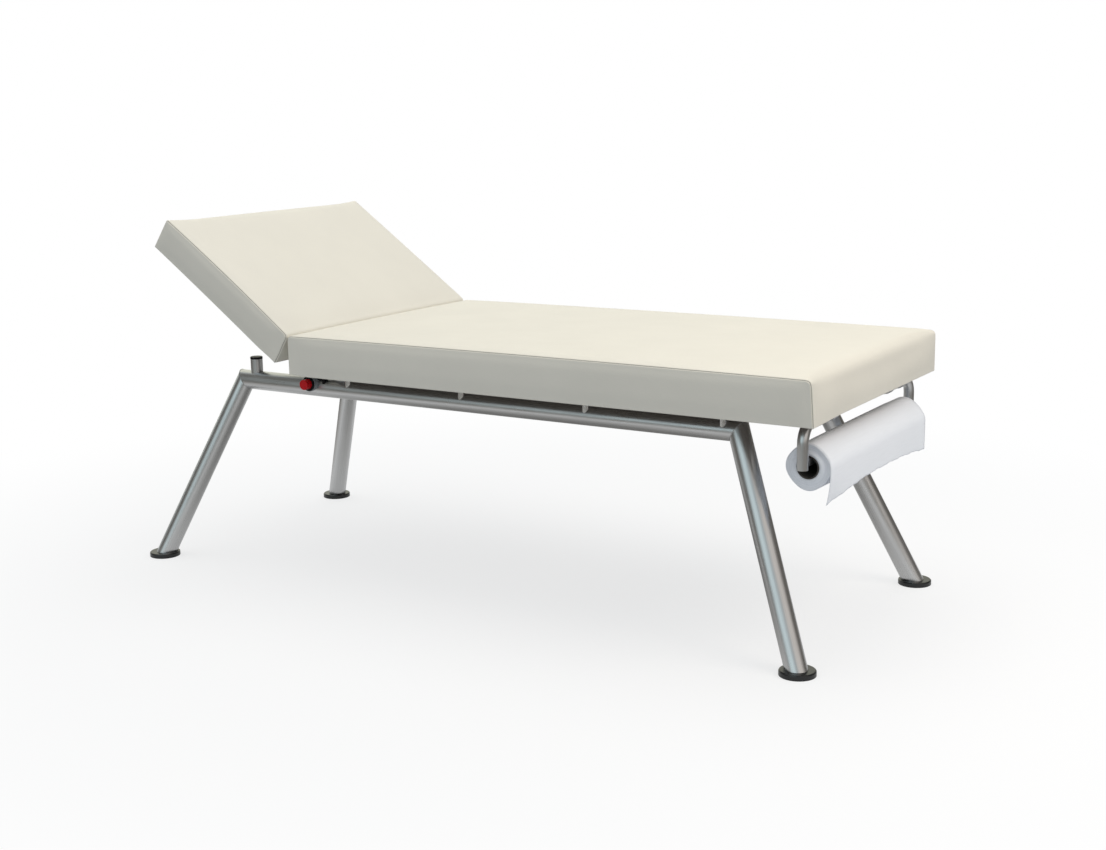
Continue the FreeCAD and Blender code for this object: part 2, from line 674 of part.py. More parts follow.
def release_lever():
    """Lever on the base pin with a nipple round the inner wire of the cable."""
    x, z = STRUT_BASE.x, STRUT_BASE.z
    y0 = lever_y()
    y1 = y0 - LEVER_T
    hub = rod(V(x, y1, z), V(x, y0, z), LEVER_HUB_R)
    arm = block(x - LEVER_W / 2, x + LEVER_W / 2, y0, y1, z, wire_z())
    start = V(x - NIPPLE_L / 2, wire_y(), wire_z())
    nipple = rod(start, start + ALONG * NIPPLE_L, NIPPLE_R)
    shape = hub.fuse([arm, nipple]).removeSplitter()
    shape = shape.cut(rod(start - ALONG * LEVER_W, start + ALONG * 2 * LEVER_W, NIPPLE_BORE_R))
    return shape.cut(rod(V(x, y1 - PAST, z), V(x, y0 + PAST, z), BASE_PIN_D / 2 + RUN_FIT))


def lug_screw_seats():
    out_x = LUG_PLATE_HALF_X - LUG_SCREW_IN
    out_y = LUG_PLATE_HALF_Y - LUG_SCREW_IN
    seat_z = HEAD_UNDER - FLANGE_T
    return [V(LUG_PIN.x + i * out_x, j * out_y, seat_z) for i in (-1, 1) for j in (-1, 1)]


def head_lug():
    """Plate under the head board with two cheeks round the strut eye."""
    x, z = LUG_PIN.x, LUG_PIN.z
    plate_z = HEAD_UNDER - FLANGE_T
    boss_r = LUG_PIN_D / 2 + LUG_BOSS
    shape = block(x - LUG_PLATE_HALF_X, x + LUG_PLATE_HALF_X, -LUG_PLATE_HALF_Y, LUG_PLATE_HALF_Y,
                  plate_z, HEAD_UNDER)
    for sign in (-1, 1):
        y0 = sign * CHEEK_IN
        y1 = sign * (CHEEK_IN + CHEEK_T)
        outline = [(x - LUG_FOOT, plate_z), (x - boss_r, z), (x + boss_r, z), (x + LUG_FOOT, plate_z)]
        boss = rod(V(x, min(y0, y1), z), V(x, max(y0, y1), z), boss_r)
        shape = shape.fuse([plate(outline, y0, y1), boss])
    shape = shape.removeSplitter().cut(cross_bar(LUG_PIN, LUG_PIN_D / 2))
    for seat in lug_screw_seats():
        shape = shape.cut(screw_hole(seat))
    return shape


def lug_pin():
    half = CHEEK_IN + CHEEK_T + PIN_OUT
    shape = rod(LUG_PIN - ACROSS * half, LUG_PIN + ACROSS * half, LUG_PIN_D / 2)
    for sign in (-1, 1):
        end = LUG_PIN + ACROSS * sign * half
        shape = shape.fuse(rod(end, end - ACROSS * sign * (PIN_OUT - SIDE_GAP), LUG_PIN_D / 2 + PIN_RIM))
    return shape.removeSplitter()


# Release button, its spring and its cable

def bezel_front():
    return BUTTON_FRONT - BUTTON_PROUD


def housing_front():
    return bezel_front() - BEZEL_T


def button_housing():
    """Round housing welded on the outer side of the right rail."""
    shape = rod(button_point(housing_front()), button_point(HOUSING_BACK), HOUSING_D / 2)
    cavity = rod(button_point(housing_front()), button_point(RAIL_OUTER), HOUSING_D / 2 - HOUSING_WALL)
    shape = shape.cut(cavity).cut(rail_bar("right", TUBE_R))
    guide = rod(button_point(BUTTON_FRONT), button_point(HOUSING_BACK - PAST), STEM_D / 2 + BOLT_FIT)
    shape = shape.cut(guide)
    return max(shape.Solids, key=lambda solid: solid.Volume)


def button_bezel():
    ring = rod(button_point(bezel_front()), button_point(housing_front()), BEZEL_D / 2)
    front = [edge for edge in ring.Edges if edge.BoundBox.YMax < PAST - bezel_front()]
    ring = ring.makeFillet(BEZEL_T / 3, front)
    bore_r = BUTTON_D / 2 + SIDE_GAP
    return ring.cut(rod(button_point(bezel_front() + PAST), button_point(housing_front() - PAST), bore_r))


def release_button():
    """Hollow red cap with a rim behind the bezel and a guide stem."""
    rear = housing_front() - SIDE_GAP
    cap = rod(button_point(BUTTON_FRONT), button_point(rear - RIM_T), BUTTON_D / 2)
    front = [edge for edge in cap.Edges if edge.BoundBox.YMax < PAST - BUTTON_FRONT]
    cap = cap.makeFillet(BUTTON_EDGE_R, front)
    rim = rod(button_point(rear), button_point(rear - RIM_T), FLANGE_R)
    shape = cap.fuse(rim).removeSplitter()
    room_r = SPRING_D / 2 + PAST
    inside = rod(button_point(BUTTON_FRONT - BUTTON_WALL), button_point(rear - RIM_T - PAST), room_r)
    stem = rod(button_point(BUTTON_FRONT - BUTTON_WALL / 2), button_point(RAIL_OUTER - STEM_SUNK), STEM_D / 2)
    shape = shape.cut(inside)
    return shape.fuse(stem).removeSplitter()


def biarc(start, start_dir, end, end_dir):
    """Two arcs that leave one point and reach another along given unit directions."""
    chord = end - start
    both = start_dir + end_dir
    a = 2 * (1 - start_dir.dot(end_dir))
    b = 2 * chord.dot(both)
    c = -chord.dot(chord)
    reach = (-b + math.sqrt(b * b - 4 * a * c)) / (2 * a)
    middle = (start + start_dir * reach + end - end_dir * reach) * 0.5
    return [arc_from(start, start_dir, middle), arc_from(end, end_dir * -1, middle, True)]


def arc_from(point, direction, target, backwards=False):
    """Arc that leaves point along direction and ends at target."""
    chord = target - point
    sag = chord.dot(direction) / chord.Length
    side = (chord - direction * chord.dot(direction)).normalize()
    half_turn = math.acos(sag)
    radius = chord.Length / (2 * math.sin(half_turn))
    centre = point + side * radius
    through = centre + (point + chord * 0.5 - centre).normalize() * radius
    ends = (target, through, point) if backwards else (point, through, target)
    return Part.Arc(*ends).toShape()


def self_gap(path, turns, wire):
    """Least gap between the turns of a coil, measured on points of its path half a turn or more apart."""
    per_turn = 24
    points = path.discretize(Number=per_turn * turns + 1)
    least = path.Length
    for i, point in enumerate(points):
        for other in points[i + per_turn // 2:]:
            least = min(least, point.distanceToPoint(other))
    return least - wire


def button_spring():
    """Coil that returns the cap, as one tube along biarcs of a quarter turn."""
    coil_r = (SPRING_D - SPRING_WIRE) / 2
    front = BUTTON_FRONT - BUTTON_WALL - SPRING_WIRE / 2 - SOFT_GAP
    back = RAIL_OUTER + SPRING_WIRE / 2 + RUN_FIT
    rise = (front - back) / SPRING_TURNS
    quarters = 4 * SPRING_TURNS
    points = []
    directions = []
    for i in range(quarters + 1):
        turn = 2 * math.pi * i / 4
        out = V(coil_r * math.cos(turn), 0, coil_r * math.sin(turn))
        points.append(button_point(back + rise * i / 4) + out)
        tangent = V(-coil_r * math.sin(turn), -rise / (2 * math.pi), coil_r * math.cos(turn))
        directions.append(tangent.normalize())
    edges = []
    for i in range(quarters):
        edges += biarc(points[i], directions[i], points[i + 1], directions[i + 1])
    path = Part.Wire(edges)
    section = Part.Wire(Part.makeCircle(SPRING_WIRE / 2, points[0], directions[0]))
    print("button spring: least gap to itself %.2f mm" % self_gap(path, SPRING_TURNS, SPRING_WIRE))
    return path.makePipeShell([section], True, False)


def cable_gland():
    start = GLAND_END - ALONG * GLAND_REACH
    shape = rod(start, GLAND_END, GLAND_D / 2)
    shape = shape.cut(rod(button_point(BUTTON_FRONT), button_point(RAIL_Y), HOUSING_D / 2))
    return max(shape.Solids, key=lambda solid: solid.Volume)


def cable_points():
    """Route of the cable: out of the gland, in a flat S over the rail, and straight into the stop."""
    stop = V(stop_x(), wire_y(), wire_z())
    start = GLAND_END + ALONG * CABLE_OUT
    end = stop - ALONG * CABLE_IN
    between = []
    for i in range(1, CABLE_BENDS + 1):
        share = i / (CABLE_BENDS + 1)
        sway = ALONG * CABLE_SWAY * math.sin(2 * math.pi * share)
        hump = UP * CABLE_HUMP * math.sin(math.pi * share)
        between.append(start + (end - start) * share + sway + hump)
    return [GLAND_END, start] + between + [end, stop]


def rounded_path(points):
    """Straight runs joined by tangent arcs, each as large as its two runs allow."""
    edges = []
    last = points[0]
    radii = []
    for before, point, after in zip(points, points[1:], points[2:]):
        inward = (before - point)
        outward = (after - point)
        cut = 0.45 * min(inward.Length, outward.Length)
        start = point + inward.normalize() * cut
        stop = point + outward.normalize() * cut
        half = inward.getAngle(outward) / 2
        radius = cut * math.tan(half)
        bisector = (inward + outward).normalize()
        through = point + bisector * (radius / math.sin(half) - radius)
        edges.append(Part.LineSegment(last, start).toShape())
        edges.append(Part.Arc(start, through, stop).toShape())
        radii.append(radius)
        last = stop
    edges.append(Part.LineSegment(last, points[-1]).toShape())
    return Part.Wire(edges), radii


def release_cable():
    """Black sheath along its route, with the inner wire standing out at the lever."""
    points = cable_points()
    path, radii = rounded_path(points)
    section = Part.Wire(Part.makeCircle(CABLE_D / 2, points[0], points[1] - points[0]))
    sheath = path.makePipeShell([section], True, False)
    wire = rod(points[-1] - ALONG, V(STRUT_BASE.x + NIPPLE_L, points[-1].y, points[-1].z), WIRE_D / 2)
    print("release cable: length %.0f mm, bend radii" % path.Length, [round(radius) for radius in radii])
    print("release cable: sheath volume over section times length %.4f"
          % (sheath.Volume / (math.pi * CABLE_D ** 2 / 4 * path.Length)))
    return sheath.fuse(wire).removeSplitter()


def cable_clip():
    """Small saddle on the rail that holds the first run of the cable."""
    middle = GLAND_END + ALONG * CLIP_FROM_GLAND
    half = CABLE_D / 2 + CABLE_CLIP_WALL
    shape = block(middle.x - CABLE_CLIP_W / 2, middle.x + CABLE_CLIP_W / 2, middle.y - half, middle.y + half,
                  RAIL_Z, middle.z + half)
    shape = shape.cut(rail_bar("right", TUBE_R))
    shape = shape.cut(rod(middle - ALONG * CABLE_CLIP_W, middle + ALONG * CABLE_CLIP_W, CABLE_D / 2))
    return max(shape.Solids, key=lambda solid: solid.Volume)


# Paper roll holder

def roll_hook(side):
    """Tube under the main board, bent down to the end of the paper roll."""
    sign = SIDES[side]
    low = V(HOOK_X, sign * HOOK_Y, HOOK_END_Z)
    bend_low = V(HOOK_X, sign * HOOK_Y, HOOK_TOP_Z - HOOK_BEND_R)
    bend_high = V(HOOK_X, sign * (HOOK_Y - HOOK_BEND_R), HOOK_TOP_Z)
    centre = V(HOOK_X, bend_high.y, bend_low.z)
    through = centre + V(0, sign, 1).normalize() * HOOK_BEND_R
    inner = V(HOOK_X, sign * (HOOK_Y - HOOK_RUN), HOOK_TOP_Z)
    bend = Part.Arc(bend_low, through, bend_high)
    runs = [Part.LineSegment(low, bend_low), bend, Part.LineSegment(bend_high, inner)]
    path = Part.Wire([run.toShape() for run in runs])
    tubes = []
    for radius in (HOOK_D / 2, HOOK_D / 2 - HOOK_WALL):
        section = Part.Wire(Part.makeCircle(radius, low, UP))
        tubes.append(path.makePipeShell([section], True, False))
    shape = tubes[0].cut(tubes[1])
    plug = rod(low, low + UP * HOOK_WALL, HOOK_D / 2 - HOOK_WALL)
    shape = shape.fuse(plug).removeSplitter()
    hole = V(HOOK_X, sign * HOOK_Y, ROD_Z)
    return shape.cut(rod(hole, hole - ACROSS * sign * HOOK_D, ROD_SPIGOT_D / 2))


def roll_rod():
    """Rod through the paper core, with a spigot in each hook."""
    half = HOOK_Y - HOOK_D / 2 - ROD_SHOULDER_GAP
    middle = V(HOOK_X, 0, ROD_Z)
    shape = rod(middle - ACROSS * half, middle + ACROSS * half, ROD_D / 2)
    spigots = rod(middle - ACROSS * HOOK_Y, middle + ACROSS * HOOK_Y, ROD_SPIGOT_D / 2)
    return shape.fuse(spigots).removeSplitter()


def roll_layer(outer, inner):
    half = ACROSS * ROLL_LENGTH / 2
    return pipe(ROLL_AXIS - half, ROLL_AXIS + half, outer, inner)


def paper_roll():
    half = ROLL_LENGTH / 2
    shape = roll_layer(ROLL_D / 2, CORE_BORE_D / 2 + CORE_WALL)
    rims = []
    for edge in shape.Edges:
        box = edge.BoundBox
        if box.XLength > ROLL_D - PAST and abs(abs(box.YMax) - half) < PAST:
            rims.append(edge)
    return shape.makeFillet(ROLL_EDGE_R, rims)


def paper_tail():
    """Free end of the paper: it leaves the roll on the foot side and hangs, its corners lowest."""
    r = ROLL_D / 2 + SOFT_GAP
    wrap = math.radians(TAIL_WRAP)
    low = TAIL_DROP + TAIL_CORNER_DROP
    half = ROLL_LENGTH / 2

    def at(radius, angle):
        return ROLL_AXIS + V(radius * math.cos(angle), -half, radius * math.sin(angle))

    def hung(radius, drop):
        return ROLL_AXIS + V(radius, -half, -drop)

    thick = r + PAPER_T
    edges = [
        Part.Arc(at(r, wrap), at(r, wrap / 2), at(r, 0)),
        Part.LineSegment(at(r, 0), hung(r, low)),
        Part.LineSegment(hung(r, low), hung(thick, low)),
        Part.LineSegment(hung(thick, low), at(thick, 0)),
        Part.Arc(at(thick, 0), at(thick, wrap / 2), at(thick, wrap)),
        Part.LineSegment(at(thick, wrap), at(r, wrap)),
    ]
    sheet = Part.Face(Part.Wire([edge.toShape() for edge in edges])).extrude(ACROSS * ROLL_LENGTH)
    bow = (half ** 2 + TAIL_CORNER_DROP ** 2) / (2 * TAIL_CORNER_DROP)
    centre = V(HOOK_X, 0, ROLL_AXIS.z - TAIL_DROP - bow)
    return sheet.cut(rod(centre, centre + ALONG * 2 * ROLL_D, bow))


def hook_clip(y):
    """Saddle clip round a hook, with a flange on each side under the main board."""
    inner = HOOK_D / 2
    outer = inner + CLIP_T
    start = V(HOOK_X, y - CLIP_W / 2, HOOK_TOP_Z)
    stop = V(HOOK_X, y + CLIP_W / 2, HOOK_TOP_Z)
    strap = rod(start, stop, outer)
    strap = strap.fuse(block(HOOK_X - outer, HOOK_X + outer, start.y, stop.y, HOOK_TOP_Z, PAD_UNDER))
    reach = outer + CLIP_FLANGE
    strap = strap.fuse(block(HOOK_X - reach, HOOK_X + reach, start.y, stop.y, PAD_UNDER - CLIP_T, PAD_UNDER))
    over = PAD_UNDER + 2 * outer
    strap = strap.cut(block(HOOK_X - reach, HOOK_X + reach, start.y, stop.y, PAD_UNDER, over))
    strap = strap.cut(block(HOOK_X - inner, HOOK_X + inner, start.y, stop.y, HOOK_TOP_Z, PAD_UNDER))
    strap = strap.cut(rod(start, stop, inner)).removeSplitter()
    for seat in clip_screw_seats(y):
        strap = strap.cut(screw_hole(seat))
    return strap


def clip_screw_seats(y):
    reach = HOOK_D / 2 + CLIP_T + CLIP_FLANGE / 2
    return [V(HOOK_X + sign * reach, y, PAD_UNDER - CLIP_T) for sign in (-1, 1)]


def clip_places():
    outer = HOOK_Y - CLIP_FIRST
    return [sign * (outer - CLIP_PITCH * i) for sign in SIDES.values() for i in range(CLIP_COUNT)]


# Boards

def main_board():
    shape = board_block(MAIN_START, MAIN_END, PAD_UNDER, 0)
    shape = shape.cut(hinge_slots(MAIN_START, 1, PAD_UNDER))
    for side in SIDES:
        for x in STANDOFF_XS:
            base, seat, reach = standoff_top(x, side), bolt_seat(x, side), UP * (BOARD_T + PAST)
            shape = shape.cut(rod(base - UP * PAST, base + reach, BOLT_D / 2 + BOLT_FIT))
            shape = shape.cut(rod(seat, seat + reach, WASHER_D / 2 + BOLT_FIT))
        for seat in flange_screw_seats(side):
            shape = shape.cut(screw_hole(seat))
    for y in clip_places():
        for seat in clip_screw_seats(y):
            shape = shape.cut(screw_hole(seat))
    return shape


def head_board():
    shape = board_block(HEAD_END, HEAD_START, HEAD_UNDER, 0)
    shape = shape.cut(hinge_slots(HEAD_START, -1, HEAD_UNDER))
    for side in SIDES:
        for seat in arm_screw_seats(side):
            shape = shape.cut(screw_hole(seat))
    for seat in lug_screw_seats():
        shape = shape.cut(screw_hole(seat))
    return shape


# Write every piece

for side in SIDES:
    save("side_rail_" + side, side_rail(side))
    for end in ENDS:
        save("leg_" + end + "_" + side, leg(end, side))
        save("foot_" + end + "_" + side, foot(end, side))
    group("pad_standoffs_" + side, [standoff(x, side) for x in STANDOFF_XS])
    group("pad_bolts_" + side, [pad_bolt(x, side) for x in STANDOFF_XS])
    save("rest_post_" + side, rest_post(side))
    save("rest_post_cap_" + side, post_cap(side))
    save("hinge_plate_" + side, hinge_plate(side))
    save("hinge_pin_" + side, hinge_pin(side))
    save("head_arm_" + side, raised(head_arm(side)))
    save("roll_hook_" + side, roll_hook(side))

group("bolt_washers", [bolt_washer(x, side) for side in SIDES for x in STANDOFF_XS])
save("cross_tube_head", cross_tube(CROSS_HEAD_X))
save("cross_tube_foot", cross_tube(CROSS_FOOT_X))
group("hinge_plate_screws", [screw(seat) for side in SIDES for seat in flange_screw_seats(side)])
group("head_arm_screws", [raised(screw(seat)) for side in SIDES for seat in arm_screw_seats(side)])

save("main_board", main_board())
main_pad = cushion(MAIN_START, MAIN_END, PAD_UNDER, HINGE_EDGE_R, OUTER_EDGE_R)
save("main_cushion", main_pad.cut(hinge_slots(MAIN_START, 1, PAD_UNDER)))
save("head_board", raised(head_board()))
head_pad = cushion(HEAD_END, HEAD_START, HEAD_UNDER, OUTER_EDGE_R, HINGE_EDGE_R)
save("head_cushion", raised(head_pad.cut(hinge_slots(HEAD_START, -1, HEAD_UNDER))))

save("strut_bracket", strut_bracket())
save("strut_pin", strut_pin())
save("strut_rod", strut_rod())
save("strut_cylinder", strut_cylinder())
save("head_lug", raised(head_lug()))
save("lug_pin", raised(lug_pin()))
group("lug_screws", [raised(screw(seat)) for seat in lug_screw_seats()])

save("release_lever", release_lever())
save("release_cable", release_cable())
save("cable_clip", cable_clip())
save("cable_gland", cable_gland())
save("button_housing", button_housing())
save("button_bezel", button_bezel())
save("release_button", release_button())
save("button_spring", button_spring())

group("hook_clips", [hook_clip(y) for y in clip_places()])
group("clip_screws", [screw(seat) for y in clip_places() for seat in clip_screw_seats(y)])
save("roll_rod", roll_rod())
save("roll_core", roll_layer(CORE_BORE_D / 2 + CORE_WALL, CORE_BORE_D / 2))
save("paper_roll", paper_roll())
save("paper_tail", paper_tail())
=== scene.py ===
"""Examination table with a tilting head section and a paper roll at the foot.

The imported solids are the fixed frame. This file dresses them: two sewn leatherette pads, a wound roll of
couch paper with its free end, weld beads on the tube mitres, and a finish for every other part.
"""

import json
import math

import bmesh
import bpy
from mathutils import Matrix, Vector


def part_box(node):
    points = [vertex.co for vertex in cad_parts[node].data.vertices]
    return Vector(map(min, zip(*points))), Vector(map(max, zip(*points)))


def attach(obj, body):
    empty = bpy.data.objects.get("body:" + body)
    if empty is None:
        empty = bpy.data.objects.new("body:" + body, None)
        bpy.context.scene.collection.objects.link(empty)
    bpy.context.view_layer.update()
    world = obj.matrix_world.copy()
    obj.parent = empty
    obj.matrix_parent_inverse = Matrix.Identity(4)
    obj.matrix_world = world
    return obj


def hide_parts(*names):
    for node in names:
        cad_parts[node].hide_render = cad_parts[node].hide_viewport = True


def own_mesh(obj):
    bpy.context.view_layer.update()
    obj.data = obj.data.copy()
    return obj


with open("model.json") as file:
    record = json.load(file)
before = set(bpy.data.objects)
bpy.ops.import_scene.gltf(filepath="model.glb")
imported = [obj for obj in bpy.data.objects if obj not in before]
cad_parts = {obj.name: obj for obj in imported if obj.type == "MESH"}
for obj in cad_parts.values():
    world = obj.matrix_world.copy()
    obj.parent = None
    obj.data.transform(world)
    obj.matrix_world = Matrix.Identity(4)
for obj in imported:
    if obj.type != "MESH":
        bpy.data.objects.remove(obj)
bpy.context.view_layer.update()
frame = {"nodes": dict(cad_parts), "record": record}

bl_info = {
    "name": "Examination table",
    "version": (1, 0, 0),
    "blender": (4, 5, 0),
    "location": "View3D > Sidebar > Examination table",
    "description": "Upholstery, paper, steel finishes and studio for the examination table",
    "category": "Object",
}

# Places shared with the part, in metres.
HINGE = Vector((-0.444, 0.0, 0.634))
REST_TILT = math.radians(35.5)
PAD_TOP = 0.650
PAD_HALF_WIDTH = 0.390
MAIN_ENDS = (-0.441, 0.971)
MAIN_UNDER = 0.549
HEAD_ENDS = (-0.929, -0.447)
HEAD_UNDER = 0.562
HEAD_PROUD = 0.0045  # foam of the head end past its solid
BOARD_THICK = 0.018
BOARD_INSET = 0.005
HINGE_SLOT = (0.216, 0.244)
HINGE_SLOT_DEPTH = 0.030
HINGE_SLOT_TOP = 0.643
RAIL_END = Vector((0.734, 0.230, 0.489))
LEG_FOOT = Vector((0.942, 0.371, 0.0))
TUBE_RADIUS = 0.0254
ROLL_AXIS = Vector((0.928, 0.0, 0.4408))
ROLL_RADIUS = 0.052
ROLL_HALF = 0.300
BORE_RADIUS = 0.0256

# The photograph's camera, worked out from the table's own corners, for an image of 1106 by 850 pixels.
IMAGE = (1106, 850)
CAMERA_PLACE = Vector((2.2176, -3.3781, 1.2324))
CAMERA_YAW = 0.56517
CAMERA_PITCH = 0.20354
CAMERA_ROLL = 0.01845
FOCAL_PIXELS = 1584.533
CENTRE_PIXELS = (544.532, 420.850)
SENSOR_WIDTH = 36.0  # any width gives the same picture


def linear(colour):
    """An sRGB hex value as linear RGBA."""
    channels = [int(colour[i:i + 2], 16) / 255 for i in (1, 3, 5)]
    return [c / 12.92 if c <= 0.04045 else ((c + 0.055) / 1.055) ** 2.4 for c in channels] + [1.0]


def smooth(value):
    """Soft step from 0 to 1."""
    value = min(1.0, max(0.0, value))
    return value * value * (3 - 2 * value)


def add(tree, kind, inputs=None, stops=None, **settings):
    """One node with its settings. Each input is a value, the socket that feeds it, or a node, by its first output."""
    node = tree.nodes.new(kind)
    for name, value in settings.items():
        setattr(node, name, value)
    for key, value in (inputs or {}).items():
        if isinstance(value, bpy.types.Node):
            value = value.outputs[0]
        if isinstance(value, bpy.types.NodeSocket):
            tree.links.new(value, node.inputs[key])
        else:
            node.inputs[key].default_value = value
    if stops:
        elements = node.color_ramp.elements
        elements[0].position, elements[0].color = stops[0]
        elements[1].position, elements[1].color = stops[-1]
        for position, colour in stops[1:-1]:
            elements.new(position).color = colour
    return node


# ---------------------------------------------------------------------------------------------- sizes and colours


def colour_setting(name, description, default):
    """A colour that a user may change, given as sRGB hex."""
    return bpy.props.FloatVectorProperty(
        name=name, description=description, default=linear(default), size=4, min=0, max=1, subtype="COLOR")


def length_setting(name, description, default, low, high, precision=4):
    """A length that a user may change, in metres."""
    return bpy.props.FloatProperty(
        name=name, description=description, default=default, min=low, max=high, unit="LENGTH", precision=precision)


class PadSettings(bpy.types.PropertyGroup):
    """Upholstery of the main and head sections."""

    leather: colour_setting("Leatherette", "Cream of the pads' cover", "#E9E4D7")
    thread: colour_setting("Thread", "Sewing thread in the seams", "#B9B29F")
    foot_radius: length_setting(
        "Foot radius", "Round of the main pad's cover over the foot end, between the corners", 0.026, 0.005, 0.04)
    head_radius: length_setting(
        "Head radius", "Round of the head pad's cover over its outer end, between the corners", 0.011, 0.005, 0.04)
    foot_corner: length_setting("Foot corner", "Round of the foot end at its sewn corners", 0.013, 0.004, 0.03)
    head_corner: length_setting("Head corner", "Round of the head end at its sewn corners", 0.007, 0.004, 0.03)
    hinge_radius: length_setting("Hinge radius", "Round of the ends that meet over the hinge", 0.012, 0.004, 0.02)
    foot_lean: length_setting(
        "Foot lean", "How far the foot end's near corner stands out at its lower edge", 0.007, 0.0, 0.015)
    seam_depth: length_setting(
        "Seam depth", "How far the sewn seam lies under the panels beside it", 0.0026, 0.0, 0.006)
    lip: length_setting("Lip", "How far the cover rolls down past the board's underside", 0.0025, 0.0, 0.004)
    swell: length_setting("Swell", "Most that the foam may push a panel out", 0.0045, 0.0, 0.01)
    stitch_pitch: length_setting("Stitch pitch", "Distance from stitch to stitch", 0.0055, 0.002, 0.02)
    stitch_length: length_setting("Stitch length", "Thread that shows of one stitch", 0.0040, 0.001, 0.02)
    stitch_thick: length_setting("Thread thickness", "Thickness of the sewing thread", 0.0011, 0.0003, 0.003)


class PaperSettings(bpy.types.PropertyGroup):
    """Couch paper roll and its free end."""

    white: colour_setting("Paper", "White of the couch paper", "#F9FBFF")
    drop: length_setting("Drop", "Free end under the roll's axis, at mid-width", 0.057, 0.0, 0.3)
    corner_drop: length_setting("Corner drop", "How much lower the torn end's corners hang", 0.017, 0.0, 0.1)
    curl: length_setting("Curl", "How far the near corner curls back to the roll", 0.008, 0.0, 0.03)
    thickness: length_setting("Thickness", "Thickness of the free end", 0.0003, 0.0001, 0.001, precision=5)
    wrap: bpy.props.FloatProperty(
        name="Wrap", description="Part of the roll that the free end still lies on",
        default=math.radians(300), min=0.1, max=6.0, subtype="ANGLE")


class SteelSettings(bpy.types.PropertyGroup):
    """Stainless tube frame."""

    tube: colour_setting("Stainless", "Brushed stainless tube", "#CFD0D1")
    bead: length_setting("Weld bead", "Half the thickness of the dressed weld on a mitre", 0.0008, 0.0002, 0.003)


class FittingSettings(bpy.types.PropertyGroup):
    """Release button, feet, strut and small parts."""

    button: colour_setting("Button", "Red of the release button", "#D4101A")
    housing: colour_setting("Housing", "Grey of the button's housing", "#8E9294")
    rubber: colour_setting("Rubber", "Black of the feet", "#101215")
    spring_turns: bpy.props.FloatProperty(
        name="Spring turns", description="Turns of the coil behind the release button", default=7.0, min=2, max=12)
    spring_wire: length_setting("Spring wire", "Thickness of the coil's wire", 0.0014, 0.0005, 0.003)


class StudioSettings(bpy.types.PropertyGroup):
    """Floor and lamps."""

    floor: colour_setting("Floor", "Pale studio floor", "#FBFBFB")
    fill: bpy.props.FloatProperty(
        name="Fill", description="Even light from all round", default=0.57, min=0, max=2)
    top: bpy.props.FloatProperty(
        name="Top lamp", description="Soft lamp overhead", default=57.0, min=0, max=500, unit="POWER")
    side: bpy.props.FloatProperty(
        name="Side lamp", description="Soft lamp at the foot end", default=13.5, min=0, max=500, unit="POWER")


# ------------------------------------------------------------------------------------------------------ materials


def start_material(name):
    """An empty material, its nodes and the place on the object."""
    material = bpy.data.materials.new(name)
    material.use_nodes = True
    material.node_tree.nodes.clear()
    place = add(material.node_tree, "ShaderNodeTexCoord").outputs["Object"]
    return material, material.node_tree, place


def end_material(material, inputs):
    """The finished material, its shader fed by these inputs."""
    shader = add(material.node_tree, "ShaderNodeBsdfPrincipled", inputs)
    add(material.node_tree, "ShaderNodeOutputMaterial", {"Surface": shader})
    return material


def shade(colour, share):
    """The same colour, lighter or darker."""
    return [min(1.0, c * share) for c in colour[:3]] + [1.0]


def brushed_stainless(name, colour, axis, roughness):
    # Stainless tube, ground lengthwise with a belt and glass blasted: satin, with long soft reflections and fine lines
    # along the tube. The lines are about 0.1 mm wide, drawn 1.5 mm wide, because finer ones don't show at this size.
    material, tree, place = start_material(name)
    turn = Vector((1, 0, 0)).rotation_difference(axis).to_euler()
    along = add(tree, "ShaderNodeMapping", {
        "Vector": place, "Rotation": turn, "Scale": (0.12, 0.0015, 0.0015)}, vector_type="TEXTURE")
    lines = add(tree, "ShaderNodeTexNoise", {"Vector": along, "Scale": 1.0, "Detail": 2.0})
    cloud = add(tree, "ShaderNodeTexNoise", {"Vector": place, "Scale": 1 / 0.09, "Detail": 2.0})
    both = add(tree, "ShaderNodeMath", {0: lines, 1: cloud}, operation="ADD")
    tone = add(tree, "ShaderNodeValToRGB", {"Fac": lines},
               stops=[(0.30, shade(colour, 0.93)), (0.50, list(colour)), (0.72, shade(colour, 1.06))])
    rough = add(tree, "ShaderNodeMapRange", {
        "Value": both, "From Min": 0.7, "From Max": 1.3, "To Min": roughness * 0.88, "To Max": roughness * 1.16})
    bump = add(tree, "ShaderNodeBump", {"Height": lines, "Strength": 0.01, "Distance": 0.0003})
    return end_material(material, {"Base Color": tone, "Metallic": 1.0, "Roughness": rough, "Normal": bump})


def zinc_plated_steel(name):
    # Pressed and turned steel, zinc plated: a cool even grey with a faint cloudy bloom, blurred reflections.
    material, tree, place = start_material(name)
    bloom = add(tree, "ShaderNodeTexNoise", {"Vector": place, "Scale": 1 / 0.012, "Detail": 4.0})
    tone = add(tree, "ShaderNodeValToRGB", {"Fac": bloom}, stops=[(0.3, linear("#A4A7AB")), (0.7, linear("#CBCDCF"))])
    rough = add(tree, "ShaderNodeMapRange", {"Value": bloom, "To Min": 0.30, "To Max": 0.46})
    return end_material(material, {"Base Color": tone, "Metallic": 1.0, "Roughness": rough})


